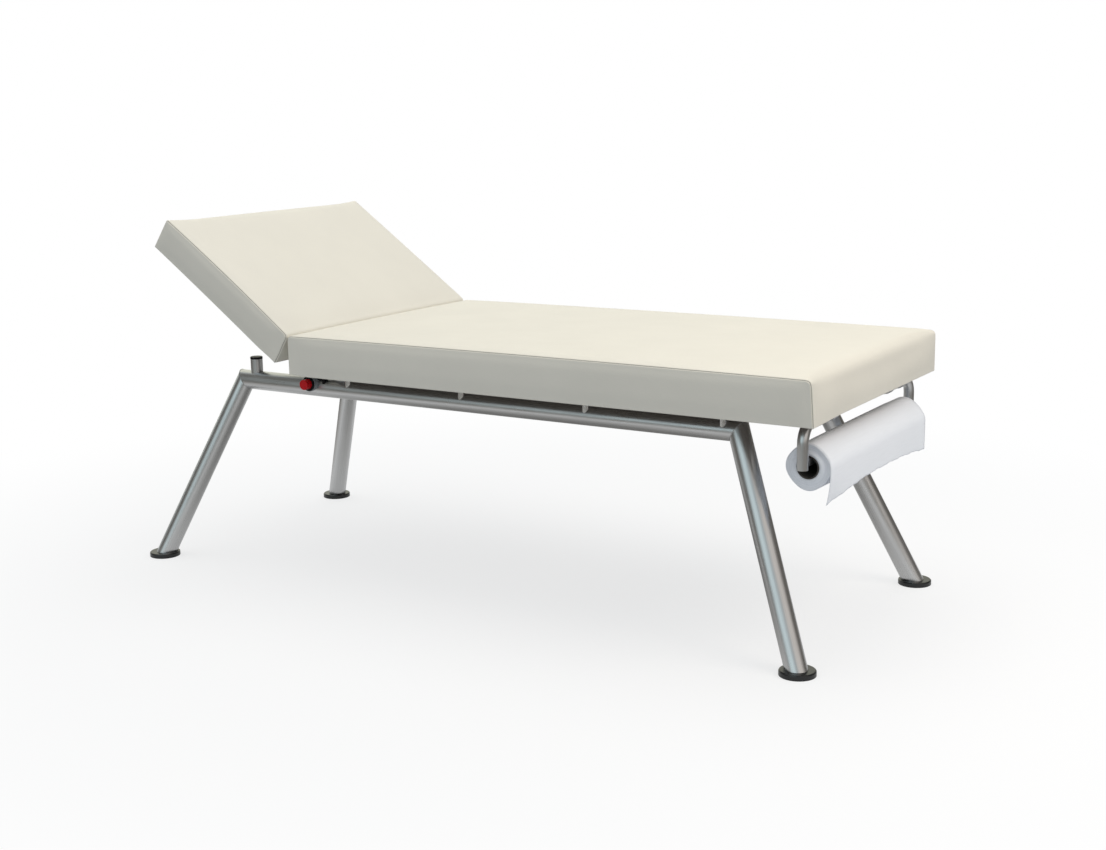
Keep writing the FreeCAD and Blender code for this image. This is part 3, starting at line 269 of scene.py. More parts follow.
def chromed_rod(name):
    # Hard chromed, ground rod and spring wire: near mirror, with a trace of grinding marks.
    material, tree, place = start_material(name)
    marks = add(tree, "ShaderNodeTexNoise", {"Vector": place, "Scale": 1 / 0.004, "Detail": 3.0})
    rough = add(tree, "ShaderNodeMapRange", {"Value": marks, "To Min": 0.08, "To Max": 0.2})
    tone = add(tree, "ShaderNodeValToRGB", {"Fac": marks}, stops=[(0.2, linear("#C2C5C9")), (0.8, linear("#D9DBDD"))])
    return end_material(material, {"Base Color": tone, "Metallic": 1.0, "Roughness": rough})


def moulded(name, colour, roughness, grain, depth, level=0.5):
    # Moulded or painted polymer: even colour, a fine spark-eroded or orange-peel skin that breaks up the gloss.
    # The skin's real grain is a few tenths of a millimetre. It is drawn at the size given, so that it shows.
    material, tree, place = start_material(name)
    skin = add(tree, "ShaderNodeTexNoise", {"Vector": place, "Scale": 1 / grain, "Detail": 3.0})
    wear = add(tree, "ShaderNodeTexNoise", {"Vector": place, "Scale": 1 / 0.03, "Detail": 2.0})
    tone = add(tree, "ShaderNodeValToRGB", {"Fac": wear},
               stops=[(0.3, shade(colour, 0.86)), (0.7, shade(colour, 1.12))])
    rough = add(tree, "ShaderNodeMapRange", {"Value": wear, "To Min": roughness * 0.8, "To Max": roughness * 1.2})
    bump = add(tree, "ShaderNodeBump", {"Height": skin, "Strength": depth, "Distance": 0.0006})
    return end_material(material, {"Base Color": tone, "Roughness": rough, "Normal": bump, "Specular IOR Level": level})


def leatherette(name, colour):
    # PVC leatherette, calendered and embossed: cream, a soft low sheen, and a pebble grain of 1.2 mm, drawn 4 mm
    # because finer cells don't show. Slow changes of tone and gloss come from handling and from the foam under it,
    # and along the seams the cover is painted darker: painted shade in the seam's groove.
    material, tree, place = start_material(name)
    pebble = add(tree, "ShaderNodeTexVoronoi", {"Vector": place, "Scale": 1 / 0.004, "Smoothness": 0.6},
                 feature="SMOOTH_F1")
    tone_cloud = add(tree, "ShaderNodeTexNoise", {"Vector": place, "Scale": 1 / 0.16, "Detail": 2.0})
    ripple = add(tree, "ShaderNodeTexNoise", {"Vector": place, "Scale": 1 / 0.045, "Detail": 2.0})
    tone = add(tree, "ShaderNodeValToRGB", {"Fac": tone_cloud},
               stops=[(0.3, shade(colour, 0.98)), (0.7, shade(colour, 1.01))])
    # Painted shade: near the marked seam points the cream is mixed towards a dark shade of itself.
    sewn = add(tree, "ShaderNodeAttribute", attribute_name="seam")
    seam_shade_mask = add(tree, "ShaderNodeMapRange", {"Value": sewn.outputs["Fac"], "From Min": 0.30, "To Max": 0.80})
    tone = add(tree, "ShaderNodeMix", {0: seam_shade_mask, 6: tone, 7: shade(colour, 0.22)}, data_type="RGBA", blend_type="MIX")
    rough = add(tree, "ShaderNodeMapRange", {"Value": ripple, "To Min": 0.42, "To Max": 0.58})
    soft = add(tree, "ShaderNodeBump", {"Height": ripple, "Strength": 0.10, "Distance": 0.004})
    grain = add(tree, "ShaderNodeBump", {
        "Height": pebble.outputs["Distance"], "Strength": 0.16, "Distance": 0.0008, "Normal": soft})
    return end_material(material, {
        "Base Color": tone.outputs[2], "Roughness": rough, "Normal": grain, "Specular IOR Level": 0.4,
        "Sheen Weight": 0.05})


def polyester_thread(name, colour):
    # Twisted polyester thread: matt, a shade darker than the cover, with a slight fleck along its length.
    material, tree, place = start_material(name)
    fleck = add(tree, "ShaderNodeTexNoise", {"Vector": place, "Scale": 1 / 0.002, "Detail": 2.0})
    tone = add(tree, "ShaderNodeValToRGB", {"Fac": fleck},
               stops=[(0.3, shade(colour, 0.8)), (0.7, shade(colour, 1.15))])
    return end_material(material, {"Base Color": tone, "Roughness": 0.8, "Sheen Weight": 0.2})


def film_faced_plywood(name):
    # Film faced plywood: a brown-grey resin film, low gloss, through which grain lines a few millimetres apart show.
    material, tree, place = start_material(name)
    along = add(tree, "ShaderNodeMapping", {"Vector": place, "Scale": (0.25, 0.005, 0.0015)}, vector_type="TEXTURE")
    grain = add(tree, "ShaderNodeTexNoise", {"Vector": along, "Scale": 1.0, "Detail": 4.0, "Distortion": 0.4})
    tone = add(tree, "ShaderNodeValToRGB", {"Fac": grain},
               stops=[(0.3, linear("#615A51")), (0.55, linear("#73695E")), (0.75, linear("#83796C"))])
    bump = add(tree, "ShaderNodeBump", {"Height": grain, "Strength": 0.15, "Distance": 0.0005})
    return end_material(material, {"Base Color": tone, "Roughness": 0.55, "Normal": bump})


def couch_paper(name, colour):
    # Creped tissue paper: matt white, smooth from a step away, with faint creases across the web, 4 mm apart.
    material, tree, place = start_material(name)
    creases = add(tree, "ShaderNodeMapping", {"Vector": place, "Scale": (0.004, 0.05, 0.004)}, vector_type="TEXTURE")
    crepe = add(tree, "ShaderNodeTexNoise", {"Vector": creases, "Scale": 1.0, "Detail": 3.0})
    # Painted shade: the hollows of the creases are drawn up to 2 % darker.
    tone = add(tree, "ShaderNodeValToRGB", {"Fac": crepe}, stops=[(0.3, shade(colour, 0.98)), (0.6, list(colour))])
    bump = add(tree, "ShaderNodeBump", {"Height": crepe, "Strength": 0.06, "Distance": 0.001})
    return end_material(material, {"Base Color": tone, "Roughness": 0.85, "Normal": bump, "Sheen Weight": 0.1})


def wound_paper(name, colour):
    # The same paper, wound: on the ends of the roll the edges of the turns show as rings, about 0.1 mm apart, drawn
    # 1.6 mm apart so that they show. The rings are drawn darker as painted shade between the turns, which leaves the
    # ends darker than the round of the roll. Round the roll it is smooth, with slack places.
    material, tree, place = start_material(name)
    centred = add(tree, "ShaderNodeVectorMath", {0: place, 1: ROLL_AXIS}, operation="SUBTRACT")
    flat = add(tree, "ShaderNodeVectorMath", {0: centred, 1: (1, 0, 1)}, operation="MULTIPLY")
    radius = add(tree, "ShaderNodeVectorMath", {0: flat}, operation="LENGTH")
    rings = add(tree, "ShaderNodeTexNoise", {"W": radius.outputs["Value"], "Scale": 1 / 0.0016, "Detail": 2.0},
                noise_dimensions="1D")
    facing = add(tree, "ShaderNodeSeparateXYZ", {0: add(tree, "ShaderNodeNewGeometry").outputs["Normal"]})
    on_end = add(tree, "ShaderNodeMath", {0: facing.outputs["Y"]}, operation="ABSOLUTE")
    edges = add(tree, "ShaderNodeMath", {0: rings, 1: on_end}, operation="MULTIPLY")
    slack = add(tree, "ShaderNodeTexNoise", {"Vector": place, "Scale": 1 / 0.05, "Detail": 2.0})
    height = add(tree, "ShaderNodeMath", {0: edges, 1: slack}, operation="ADD")
    # Painted shade: the rings darken the ends by up to 14 %, and the round of the roll not at all.
    tone = add(tree, "ShaderNodeValToRGB", {"Fac": edges},
               stops=[(0.30, list(colour)), (0.55, shade(colour, 0.93)), (0.8, shade(colour, 0.86))])
    bump = add(tree, "ShaderNodeBump", {"Height": height, "Strength": 0.22, "Distance": 0.0008})
    return end_material(material, {"Base Color": tone, "Roughness": 0.85, "Normal": bump, "Sheen Weight": 0.1})


def grey_cardboard(name):
    # Spiral wound board tube: grey pulp with small flecks, quite matt. Its grey is drawn dark as painted shade for the
    # shaded bore.
    material, tree, place = start_material(name)
    fleck = add(tree, "ShaderNodeTexNoise", {"Vector": place, "Scale": 1 / 0.003, "Detail": 4.0})
    tone = add(tree, "ShaderNodeValToRGB", {"Fac": fleck}, stops=[(0.3, linear("#3B3835")), (0.7, linear("#56514C"))])
    return end_material(material, {"Base Color": tone, "Roughness": 0.9})


def slot_of(node):
    """The record's material slot of a CAD part."""
    for part in frame["record"]["subparts"]:
        if node in part.values():
            return part["material_slot"]
    return None


def paint(names, material):
    """Give CAD parts their finish."""
    for name in names:
        for slot in frame["nodes"][name].material_slots:
            slot.material = material


# ----------------------------------------------------------------------------------------------------- mesh helpers


def new_object(name, points, edges, faces):
    """A mesh object at the origin, in the scene."""
    mesh = bpy.data.meshes.new(name)
    mesh.from_pydata([tuple(p) for p in points], edges, faces)
    thing = bpy.data.objects.new(name, mesh)
    bpy.context.scene.collection.objects.link(thing)
    return thing


def new_piece(name, points, faces, material, body):
    """A mesh piece at the origin, dressed."""
    piece = new_object(name, points, [], faces)
    piece.data.validate()
    return dress(piece, material, body)


def dress(piece, material, body):
    """A finished piece: one material, smooth shaded, riding on a body."""
    piece.data.materials.clear()
    piece.data.materials.append(material)
    piece.data.polygons.foreach_set("use_smooth", [True] * len(piece.data.polygons))
    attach(piece, body)
    return piece


def settle(piece):
    """Apply the piece's modifiers, so that it is a plain mesh."""
    depsgraph = bpy.context.evaluated_depsgraph_get()
    mesh = bpy.data.meshes.new_from_object(piece.evaluated_get(depsgraph))
    piece.modifiers.clear()
    old = piece.data
    piece.data = mesh
    bpy.data.meshes.remove(old)
    mesh.name = piece.name


def outward(piece):
    """Turn a closed mesh's faces to the outside."""
    shape = bmesh.new()
    shape.from_mesh(piece.data)
    bmesh.ops.recalc_face_normals(shape, faces=shape.faces)
    shape.to_mesh(piece.data)
    shape.free()


def grid_lines(low, high, step, low_fine, high_fine):
    """Grid lines from low to high, close together at both ends."""
    first = [low + d for d in low_fine]
    last = [high - d for d in reversed(high_fine)]
    count = max(1, round((last[0] - first[-1]) / step))
    between = [first[-1] + (last[0] - first[-1]) * i / count for i in range(1, count)]
    return first + between + last


def raised(point):
    """A point of the flat head section, where it stands at rest."""
    return HINGE + Matrix.Rotation(REST_TILT, 3, "Y") @ (Vector(point) - HINGE)


# -------------------------------------------------------------------------------------------------------------- pads


# Grid of a pad: lines in from an edge and up from the under rim, and the widest steps between them.
EDGE_LINES = (0.0, 0.0024, 0.006, 0.012, 0.020, 0.031, 0.047)
RIM_LINES = (0.0, 0.004, 0.012)
TOP_STEP, SIDE_STEP = 0.022, 0.016

CORNER_BLEND = 0.09  # from a sewn corner to the full round of an end
SIDE_DRAW = 0.0025  # how far the long sides are drawn in at mid-length
CROWN = 0.002  # how much higher the top stands in the middle
LIP_FROM, LIP_BLEND = 0.015, 0.05  # where the lip starts, from the hinge
LEAN_BLEND = 0.06  # length of the foot end that leans
LEAN_FROM, LEAN_ACROSS = 0.21, 0.18  # where the lean starts and grows, from the middle to the near side
HEAD_SWELL, HEAD_SWELL_BLEND = 0.0035, 0.03  # the head pad's soft lower edge at the hinge, and its length
HEAD_SWELL_TOP, HEAD_SWELL_FADE = 0.75, 0.5  # shares of the height: where the swell ends, and over what it grows
SEAM_HOLD, RIM_HOLD = 0.02, 0.025  # how far a seam and the under rim hold the foam back
HINGE_HOLD_FROM, HINGE_HOLD_BLEND = 0.005, 0.06  # where the hinge's hold starts to ease, and over what length
SIDE_BAND = 0.006  # points this near to a long side belong to its panel
FIRM = 0.98  # points held at least this much are pinned
FOAM_FRAMES = 20


class PadForm:
    """One pad, flat: a box of grid lines, wrapped over its ends and drawn in at its seams."""

    def __init__(self, ends, under, hinge_at_low, settings):
        self.ends = ends if hinge_at_low else (ends[0] - HEAD_PROUD, ends[1])
        self.under = under
        self.hinge_at_low = hinge_at_low
        self.settings = settings
        self.lines = (
            grid_lines(*self.ends, TOP_STEP, EDGE_LINES, EDGE_LINES),
            grid_lines(-PAD_HALF_WIDTH, PAD_HALF_WIDTH, TOP_STEP, EDGE_LINES, EDGE_LINES),
            grid_lines(under, PAD_TOP, SIDE_STEP, RIM_LINES, EDGE_LINES[:6]),
        )
        self.last = [len(line) - 1 for line in self.lines]
        self.points, self.faces, self.keys = [], [], {}
        self.fill_faces()
        self.seams = self.find_seams()

    def end_radius(self, at_low, y):
        """Round of the cover over an end, which is less at its sewn corners."""
        settings = self.settings
        if at_low == self.hinge_at_low:
            return settings.hinge_radius
        inward = smooth((PAD_HALF_WIDTH - abs(y)) / CORNER_BLEND)
        if self.hinge_at_low:
            return settings.foot_corner + (settings.foot_radius - settings.foot_corner) * inward
        return settings.head_corner + (settings.head_radius - settings.head_corner) * inward

    def place(self, key):
        """Where a point of the grid lies on the pad."""
        x, y, z = (self.lines[axis][key[axis]] for axis in range(3))
        low, high = self.ends
        on_top, at_low_end = key[2] == self.last[2], key[0] == 0
        out = Vector((0, 0, 1)) if on_top else Vector((-1 if at_low_end else 1, 0, 0))
        for at_low, sign in ((True, -1), (False, 1)):
            radius = self.end_radius(at_low, y)
            middle_x = (low if at_low else high) - sign * radius
            middle_z = PAD_TOP - radius
            a, b = (x - middle_x) * sign, z - middle_z
            if a > 0 and b > 0:
                reach = max(a, b)
                angle = math.pi / 4 * a / b if b >= a else math.pi / 2 - math.pi / 4 * b / a
                out = Vector((sign * math.sin(angle), 0, math.cos(angle)))
                x = middle_x + sign * reach * math.sin(angle)
                z = middle_z + reach * math.cos(angle)
        along = (2 * x - low - high) / (high - low)
        height = (z - self.under) / (PAD_TOP - self.under)
        point = Vector((x, y, z))
        point.y *= 1 - SIDE_DRAW / PAD_HALF_WIDTH * (1 - along * along)
        point.z += CROWN * height * (1 - along * along - (y / PAD_HALF_WIDTH) ** 2)
        from_hinge = x - low if self.hinge_at_low else high - x
        point.z -= self.settings.lip * smooth((from_hinge - LIP_FROM) / LIP_BLEND) * (1 - height) ** 4
        if self.hinge_at_low:
            lean = self.settings.foot_lean * (1 - height)
            point.x += lean * smooth(1 - (high - x) / LEAN_BLEND) * smooth((-y - LEAN_FROM) / LEAN_ACROSS)
        else:
            low_down = smooth((HEAD_SWELL_TOP - height) / HEAD_SWELL_FADE)
            point.x += HEAD_SWELL * smooth(1 - from_hinge / HEAD_SWELL_BLEND) * low_down
        if self.on_seam(key):
            depth = self.settings.seam_depth
            point -= out * depth
            point.y -= math.copysign(depth, y)
        return point

    def on_seam(self, key):
        """Whether a point of the grid lies on a seam."""
        return key[1] in (0, self.last[1]) and (key[0] in (0, self.last[0]) or key[2] == self.last[2])

    def number(self, key):
        """The number of a point of the grid, which is placed when first asked for."""
        if key not in self.keys:
            self.keys[key] = len(self.points)
            self.points.append(self.place(key))
        return self.keys[key]

    def fill_faces(self):
        """Quads over the six sides of the box, all facing out."""
        for axis in range(3):
            first, second = (axis + 1) % 3, (axis + 2) % 3
            for side in (0, self.last[axis]):
                for a in range(self.last[first]):
                    for b in range(self.last[second]):
                        corners = []
                        for step_a, step_b in ((0, 0), (1, 0), (1, 1), (0, 1)):
                            key = [0, 0, 0]
                            key[axis], key[first], key[second] = side, a + step_a, b + step_b
                            corners.append(self.number(tuple(key)))
                        self.faces.append(corners if side else corners[::-1])

    def find_seams(self):
        """The two seams, each from the under edge at one end over the top to the other."""
        found = []
        for j in (0, self.last[1]):
            up = [(0, j, k) for k in range(self.last[2])]
            over = [(i, j, self.last[2]) for i in range(self.last[0])]
            down = [(self.last[0], j, k) for k in range(self.last[2], -1, -1)]
            found.append([self.keys[key] for key in up + over + down])
        return found

    def hold(self, point):
        """How firmly a point is held while the foam swells: 1 at seams, under edges and the hinge."""
        hinge_x = self.ends[0] if self.hinge_at_low else self.ends[1]
        free = smooth((PAD_HALF_WIDTH - abs(point.y)) / SEAM_HOLD)
        if abs(point.y) > PAD_HALF_WIDTH - SIDE_BAND:
            from_top = PAD_TOP - point.z
            from_end = min(point.x - self.ends[0], self.ends[1] - point.x)
            free = smooth(min(from_top, from_end) / SEAM_HOLD)
        free *= smooth((point.z - self.under) / RIM_HOLD)
        free *= smooth((abs(point.x - hinge_x) - HINGE_HOLD_FROM) / HINGE_HOLD_BLEND)
        return 1 - free


def swell(piece, form, settings):
    """Cloth with air pressure for the foam, for a few frames, each point's movement capped."""
    holds = [form.hold(p) for p in form.points]
    group = piece.vertex_groups.new(name="held")
    for index, share in enumerate(holds):
        if share > FIRM:
            group.add([index], 1.0, "REPLACE")
    cloth = piece.modifiers.new("foam", "CLOTH")
    cloth.settings.vertex_group_mass = "held"
    cloth.settings.use_pressure = True
    cloth.settings.uniform_pressure_force = 12.0
    cloth.settings.effector_weights.gravity = 0.0
    cloth.settings.tension_stiffness = 30
    cloth.settings.compression_stiffness = 30
    cloth.settings.bending_stiffness = 4
    cloth.settings.quality = 6
    cloth.collision_settings.use_collision = False
    cloth.point_cache.frame_start, cloth.point_cache.frame_end = 1, FOAM_FRAMES
    scene = bpy.context.scene
    for number in range(1, FOAM_FRAMES + 1):
        scene.frame_set(number)
    moved = [v.co.copy() for v in piece.evaluated_get(bpy.context.evaluated_depsgraph_get()).data.vertices]
    piece.modifiers.clear()
    piece.vertex_groups.clear()
    scene.frame_set(1)
    most = 0.0
    for vertex, after, share in zip(piece.data.vertices, moved, holds):
        step = after - vertex.co
        most = max(most, step.length)
        if step.length > 1e-9:
            vertex.co += step.normalized() * settings.swell * math.tanh(step.length / settings.swell) * (1 - share)
    print("foam: %s moved by up to %.1f mm before the cap" % (piece.name, most * 1000))
    piece.data.update()


def cut(piece, boxes):
    """Cut boxes out of a piece, one after the other."""
    for low, high in boxes:
        middle = [(a + b) / 2 for a, b in zip(low, high)]
        size = [b - a for a, b in zip(low, high)]
        shape = bmesh.new()
        bmesh.ops.create_cube(shape, size=1, matrix=Matrix.Translation(middle) @ Matrix.Diagonal(size + [1]))
        tool = new_object("cutter", [], [], [])
        shape.to_mesh(tool.data)
        shape.free()
        knife = piece.modifiers.new("cut", "BOOLEAN")
        knife.operation, knife.solver, knife.object = "DIFFERENCE", "EXACT", tool
        settle(piece)
        mesh = tool.data
        bpy.data.objects.remove(tool)
        bpy.data.meshes.remove(mesh)


def make_pad(name, ends, under, hinge_at_low, settings):
    """One pad, flat, and the lines of its two seams."""
    form = PadForm(ends, under, hinge_at_low, settings)
    pad = new_object(name, form.points, [], form.faces)
    swell(pad, form, settings)
    seams = [[pad.data.vertices[index].co.copy() for index in seam] for seam in form.seams]
    sewn = {frozenset(pair) for seam in form.seams for pair in zip(seam, seam[1:])}
    crease = pad.data.attributes.new("crease_edge", "FLOAT", "EDGE")
    crease.data.foreach_set("value", [float(frozenset(edge.vertices) in sewn) for edge in pad.data.edges])
    # Seam points are marked so that the cover can paint shade along its seams.
    marked = {index for seam in form.seams for index in seam}
    seam_shade_mask = pad.data.attributes.new("seam", "FLOAT", "POINT")
    seam_shade_mask.data.foreach_set("value", [float(index in marked) for index in range(len(pad.data.vertices))])
    rounder = pad.modifiers.new("round", "SUBSURF")
    rounder.levels = rounder.render_levels = 1
    settle(pad)
    gap, past = 0.0004, 0.02
    inset = BOARD_INSET - gap
    boxes = [((ends[0] + inset, -PAD_HALF_WIDTH + inset, under - past),
              (ends[1] - inset, PAD_HALF_WIDTH - inset, under + BOARD_THICK + gap))]
    face, into = (ends[0], 1) if hinge_at_low else (ends[1], -1)
    x_low, x_high = sorted((face - into * past, face + into * HINGE_SLOT_DEPTH))
    for side in (-1, 1):
        y_low, y_high = sorted((side * HINGE_SLOT[0], side * HINGE_SLOT[1]))
        boxes.append(((x_low, y_low, under - past), (x_high, y_high, HINGE_SLOT_TOP)))
    cut(pad, boxes)
    return pad, seams


def start_tree(name, inputs):
    """A geometry node tree with a mesh, named inputs and a material, and the sockets that give them."""
    tree = bpy.data.node_groups.new(name, "GeometryNodeTree")
    kinds = {"Geometry": "NodeSocketGeometry", "Place": "NodeSocketVector", "Material": "NodeSocketMaterial"}
    for label in ("Geometry", *inputs, "Material"):
        tree.interface.new_socket(label, in_out="INPUT", socket_type=kinds.get(label, "NodeSocketFloat"))
    tree.interface.new_socket("Geometry", in_out="OUTPUT", socket_type=kinds["Geometry"])
    return tree, add(tree, "NodeGroupInput").outputs


def end_tree(tree, given, shape):
    """The tree's last nodes: copies made real, and the material set."""
    real = add(tree, "GeometryNodeRealizeInstances", {"Geometry": shape})
    finished = add(tree, "GeometryNodeSetMaterial", {"Geometry": real, "Material": given["Material"]})
    add(tree, "NodeGroupOutput", {"Geometry": finished})
    return tree


def stitch_tree():
    """Geometry nodes: short threads at an even pitch along a line."""
    tree, given = start_tree("seam stitches", ("Pitch", "Length", "Thickness"))
    line = add(tree, "GeometryNodeMeshToCurve", {"Mesh": given["Geometry"]})
    places = add(tree, "GeometryNodeResampleCurve", {"Curve": line, "Length": given["Pitch"]}, mode="LENGTH")
    bead = add(tree, "GeometryNodeMeshUVSphere", {"Segments": 6, "Rings": 4, "Radius": 0.5})
    size = add(tree, "ShaderNodeCombineXYZ", {"X": given["Length"], "Y": given["Thickness"], "Z": given["Thickness"]})
    thread = add(tree, "GeometryNodeTransform", {"Geometry": bead, "Scale": size})
    run = add(tree, "GeometryNodeInputTangent")
    turn = add(tree, "FunctionNodeAlignRotationToVector", {"Vector": run}, axis="X")
    copies = add(tree, "GeometryNodeInstanceOnPoints", {"Points": places, "Instance": thread, "Rotation": turn})
    return end_tree(tree, given, copies)


def line_mesh(name, paths, closed=False):
    """Open or closed lines as one mesh of edges."""
    points, edges = [], []
    for path in paths:
        start = len(points)
        points.extend(path)
        edges.extend((start + i, start + i + 1) for i in range(len(path) - 1))
        if closed:
            edges.append((start + len(path) - 1, start))
    return new_object(name, points, edges, [])


def grow(piece, tree, values):
    """Run a node tree on a piece with its named inputs, and keep the plain mesh."""
    modifier = piece.modifiers.new(tree.name, "NODES")
    modifier.node_group = tree
    for item in tree.interface.items_tree:
        if item.in_out == "INPUT" and item.name in values:
            modifier[item.identifier] = values[item.name]
    settle(piece)
    if not piece.data.polygons:
        raise RuntimeError(piece.name + ": its node tree made nothing")


# ------------------------------------------------------------------------------------------------------- operators


class EXAMTABLE_OT_stage(bpy.types.Operator):
    """Pale floor, soft lamps and the photograph's camera"""

    bl_idname = "examtable.stage"
    bl_label = "Stage"

    def execute(self, context):
        settings = context.scene.examtable_studio
        self.light_world(context, settings)
        self.lay_floor(settings)
        self.hang_lamp("top_lamp", place=(-0.6, 0.35, 3.9), target=(0.1, 0.0, 0.5), size=(4.2, 2.6),
                       power=settings.top, colour="#FFFBF5", mirrored=True)
        self.hang_lamp("side_lamp", place=(2.2, -0.1, 1.75), target=(0.95, 0.0, 0.50), size=(1.2, 1.0),
                       power=settings.side, colour="#FFF4E8", mirrored=False)
        self.set_camera(context)
        context.scene.view_settings.view_transform = "Standard"
        return {"FINISHED"}

    def light_world(self, context, settings):
        """White to the camera, an even fill for the rest, and a bright and dark studio round the table in metal."""
        world = bpy.data.worlds.new("studio")
        context.scene.world = world
        world.use_nodes = True
        tree = world.node_tree
        tree.nodes.clear()
        place = add(tree, "ShaderNodeTexCoord").outputs["Generated"]
        parts = add(tree, "ShaderNodeSeparateXYZ", {0: place})
        angle = add(tree, "ShaderNodeMath", {0: parts.outputs["Y"], 1: parts.outputs["X"]}, operation="ARCTAN2")
        turn = add(tree, "ShaderNodeMapRange", {"Value": angle, "From Min": -math.pi, "From Max": math.pi})
        cool, grey, warm, dark, cream = map(linear, ("#EBFCFF", "#B2BBBE", "#E7E0D9", "#6B6761", "#FFFFEE"))
        room = add(tree, "ShaderNodeValToRGB", {"Fac": turn}, stops=[
            (0.0, grey), (0.05, dark), (0.13, dark), (0.19, cool), (0.26, cool), (0.32, grey), (0.40, warm),
            (0.50, warm), (0.58, dark), (0.70, dark), (0.82, cream), (0.95, cream), (1.0, grey)])
        rays = add(tree, "ShaderNodeLightPath").outputs
        fill = [tint * settings.fill for tint in (0.95, 1.0, 1.04)] + [1]
        mirrored = add(tree, "ShaderNodeMix", {0: rays["Is Glossy Ray"], 6: fill, 7: room}, data_type="RGBA")
        seen = add(tree, "ShaderNodeMath", {0: rays["Is Camera Ray"], 1: rays["Is Transmission Ray"]},
                   operation="MAXIMUM")
        colour = add(tree, "ShaderNodeMix", {0: seen, 6: mirrored.outputs[2], 7: (1, 1, 1, 1)}, data_type="RGBA")
        sky = add(tree, "ShaderNodeBackground", {"Color": colour.outputs[2], "Strength": 1.0})
        add(tree, "ShaderNodeOutputWorld", {"Surface": sky})

    def lay_floor(self, settings):
        """Floor that keeps the shadow near the table and runs out into white."""
        # Painted studio floor: matt, white to the eye, and greyer in the light that it throws back up.
        material, tree, place = start_material("matt studio floor paint")
        rays = add(tree, "ShaderNodeLightPath").outputs
        seen = add(tree, "ShaderNodeMath", {0: rays["Is Camera Ray"], 1: rays["Is Glossy Ray"]}, operation="MAXIMUM")
        seen = add(tree, "ShaderNodeMath", {0: seen, 1: rays["Is Transmission Ray"]}, operation="MAXIMUM")
        colour = add(tree, "ShaderNodeMix", {0: seen, 6: linear("#C4C8CD"), 7: list(settings.floor)}, data_type="RGBA")
        far = add(tree, "ShaderNodeVectorMath", {0: place}, operation="LENGTH")
        fade = add(tree, "ShaderNodeMapRange", {
            "Value": far.outputs["Value"], "From Min": 0.9, "From Max": 2.4, "To Min": 0.70},
            interpolation_type="SMOOTHSTEP")
        fade = add(tree, "ShaderNodeMath", {0: fade, 1: seen}, operation="MULTIPLY")
        matt = add(tree, "ShaderNodeBsdfDiffuse", {"Color": colour.outputs[2]})
        # In the steel the floor carries a painted shadow under the table, is pale round it and is painted greyer
        # further out, to 4 m off.
        distant = add(tree, "ShaderNodeMapRange", {"Value": far.outputs["Value"], "From Max": 4.0})
        painted_floor_shade = add(tree, "ShaderNodeValToRGB", {"Fac": distant}, stops=[
            (0.10, linear("#7C7974")), (0.18, linear("#A19F9B")), (0.28, linear("#DADAD9")),
            (0.40, linear("#B5B3AF")), (0.75, linear("#6D6A64"))])
        tone = add(tree, "ShaderNodeMix", {0: rays["Is Glossy Ray"], 6: (1, 1, 1, 1), 7: painted_floor_shade}, data_type="RGBA")
        white = add(tree, "ShaderNodeEmission", {"Color": tone.outputs[2], "Strength": 1.0})
        both = add(tree, "ShaderNodeMixShader", {0: fade, 1: matt, 2: white})
        add(tree, "ShaderNodeOutputMaterial", {"Surface": both})
        reach, under = 40.0, -0.0003
        corners = [(-reach, -reach, under), (reach, -reach, under), (reach, reach, under), (-reach, reach, under)]
        floor = new_object("studio_floor", corners, [], [(0, 1, 2, 3)])
        floor.data.materials.append(material)

    def hang_lamp(self, name, place, target, size, power, colour, mirrored):
        """A soft box that the camera doesn't see, and metal only if mirrored."""
        lamp = bpy.data.lights.new(name, "AREA")
        lamp.shape, lamp.size, lamp.size_y, lamp.energy = "RECTANGLE", size[0], size[1], power
        lamp.color = linear(colour)[:3]
        holder = bpy.data.objects.new(name, lamp)
        holder.location = place
        holder.rotation_euler = (Vector(target) - Vector(place)).to_track_quat("-Z", "Y").to_euler()
        holder.visible_camera = False
        holder.visible_glossy = mirrored
        bpy.context.scene.collection.objects.link(holder)

    def set_camera(self, context):
        """The photograph's camera."""
        ahead = Vector((-math.sin(CAMERA_YAW) * math.cos(CAMERA_PITCH), math.cos(CAMERA_YAW) * math.cos(CAMERA_PITCH),
                        -math.sin(CAMERA_PITCH)))
        right = Vector((math.cos(CAMERA_YAW), math.sin(CAMERA_YAW), 0))
        down = ahead.cross(right)
        across = math.cos(CAMERA_ROLL) * right + math.sin(CAMERA_ROLL) * down
        under = -math.sin(CAMERA_ROLL) * right + math.cos(CAMERA_ROLL) * down
        lens = bpy.data.cameras.new("photo_camera")
        lens.sensor_fit, lens.sensor_width = "HORIZONTAL", SENSOR_WIDTH
        lens.lens = FOCAL_PIXELS / IMAGE[0] * SENSOR_WIDTH
        lens.shift_x = (IMAGE[0] / 2 - CENTRE_PIXELS[0]) / IMAGE[0]
        lens.shift_y = (CENTRE_PIXELS[1] - IMAGE[1] / 2) / IMAGE[0]
        lens.clip_end = 200
        camera = bpy.data.objects.new("photo_camera", lens)
        turn = Matrix((across, -under, -ahead)).transposed()
        camera.matrix_world = Matrix.Translation(CAMERA_PLACE) @ turn.to_4x4()
        context.scene.collection.objects.link(camera)
        context.scene.camera = camera


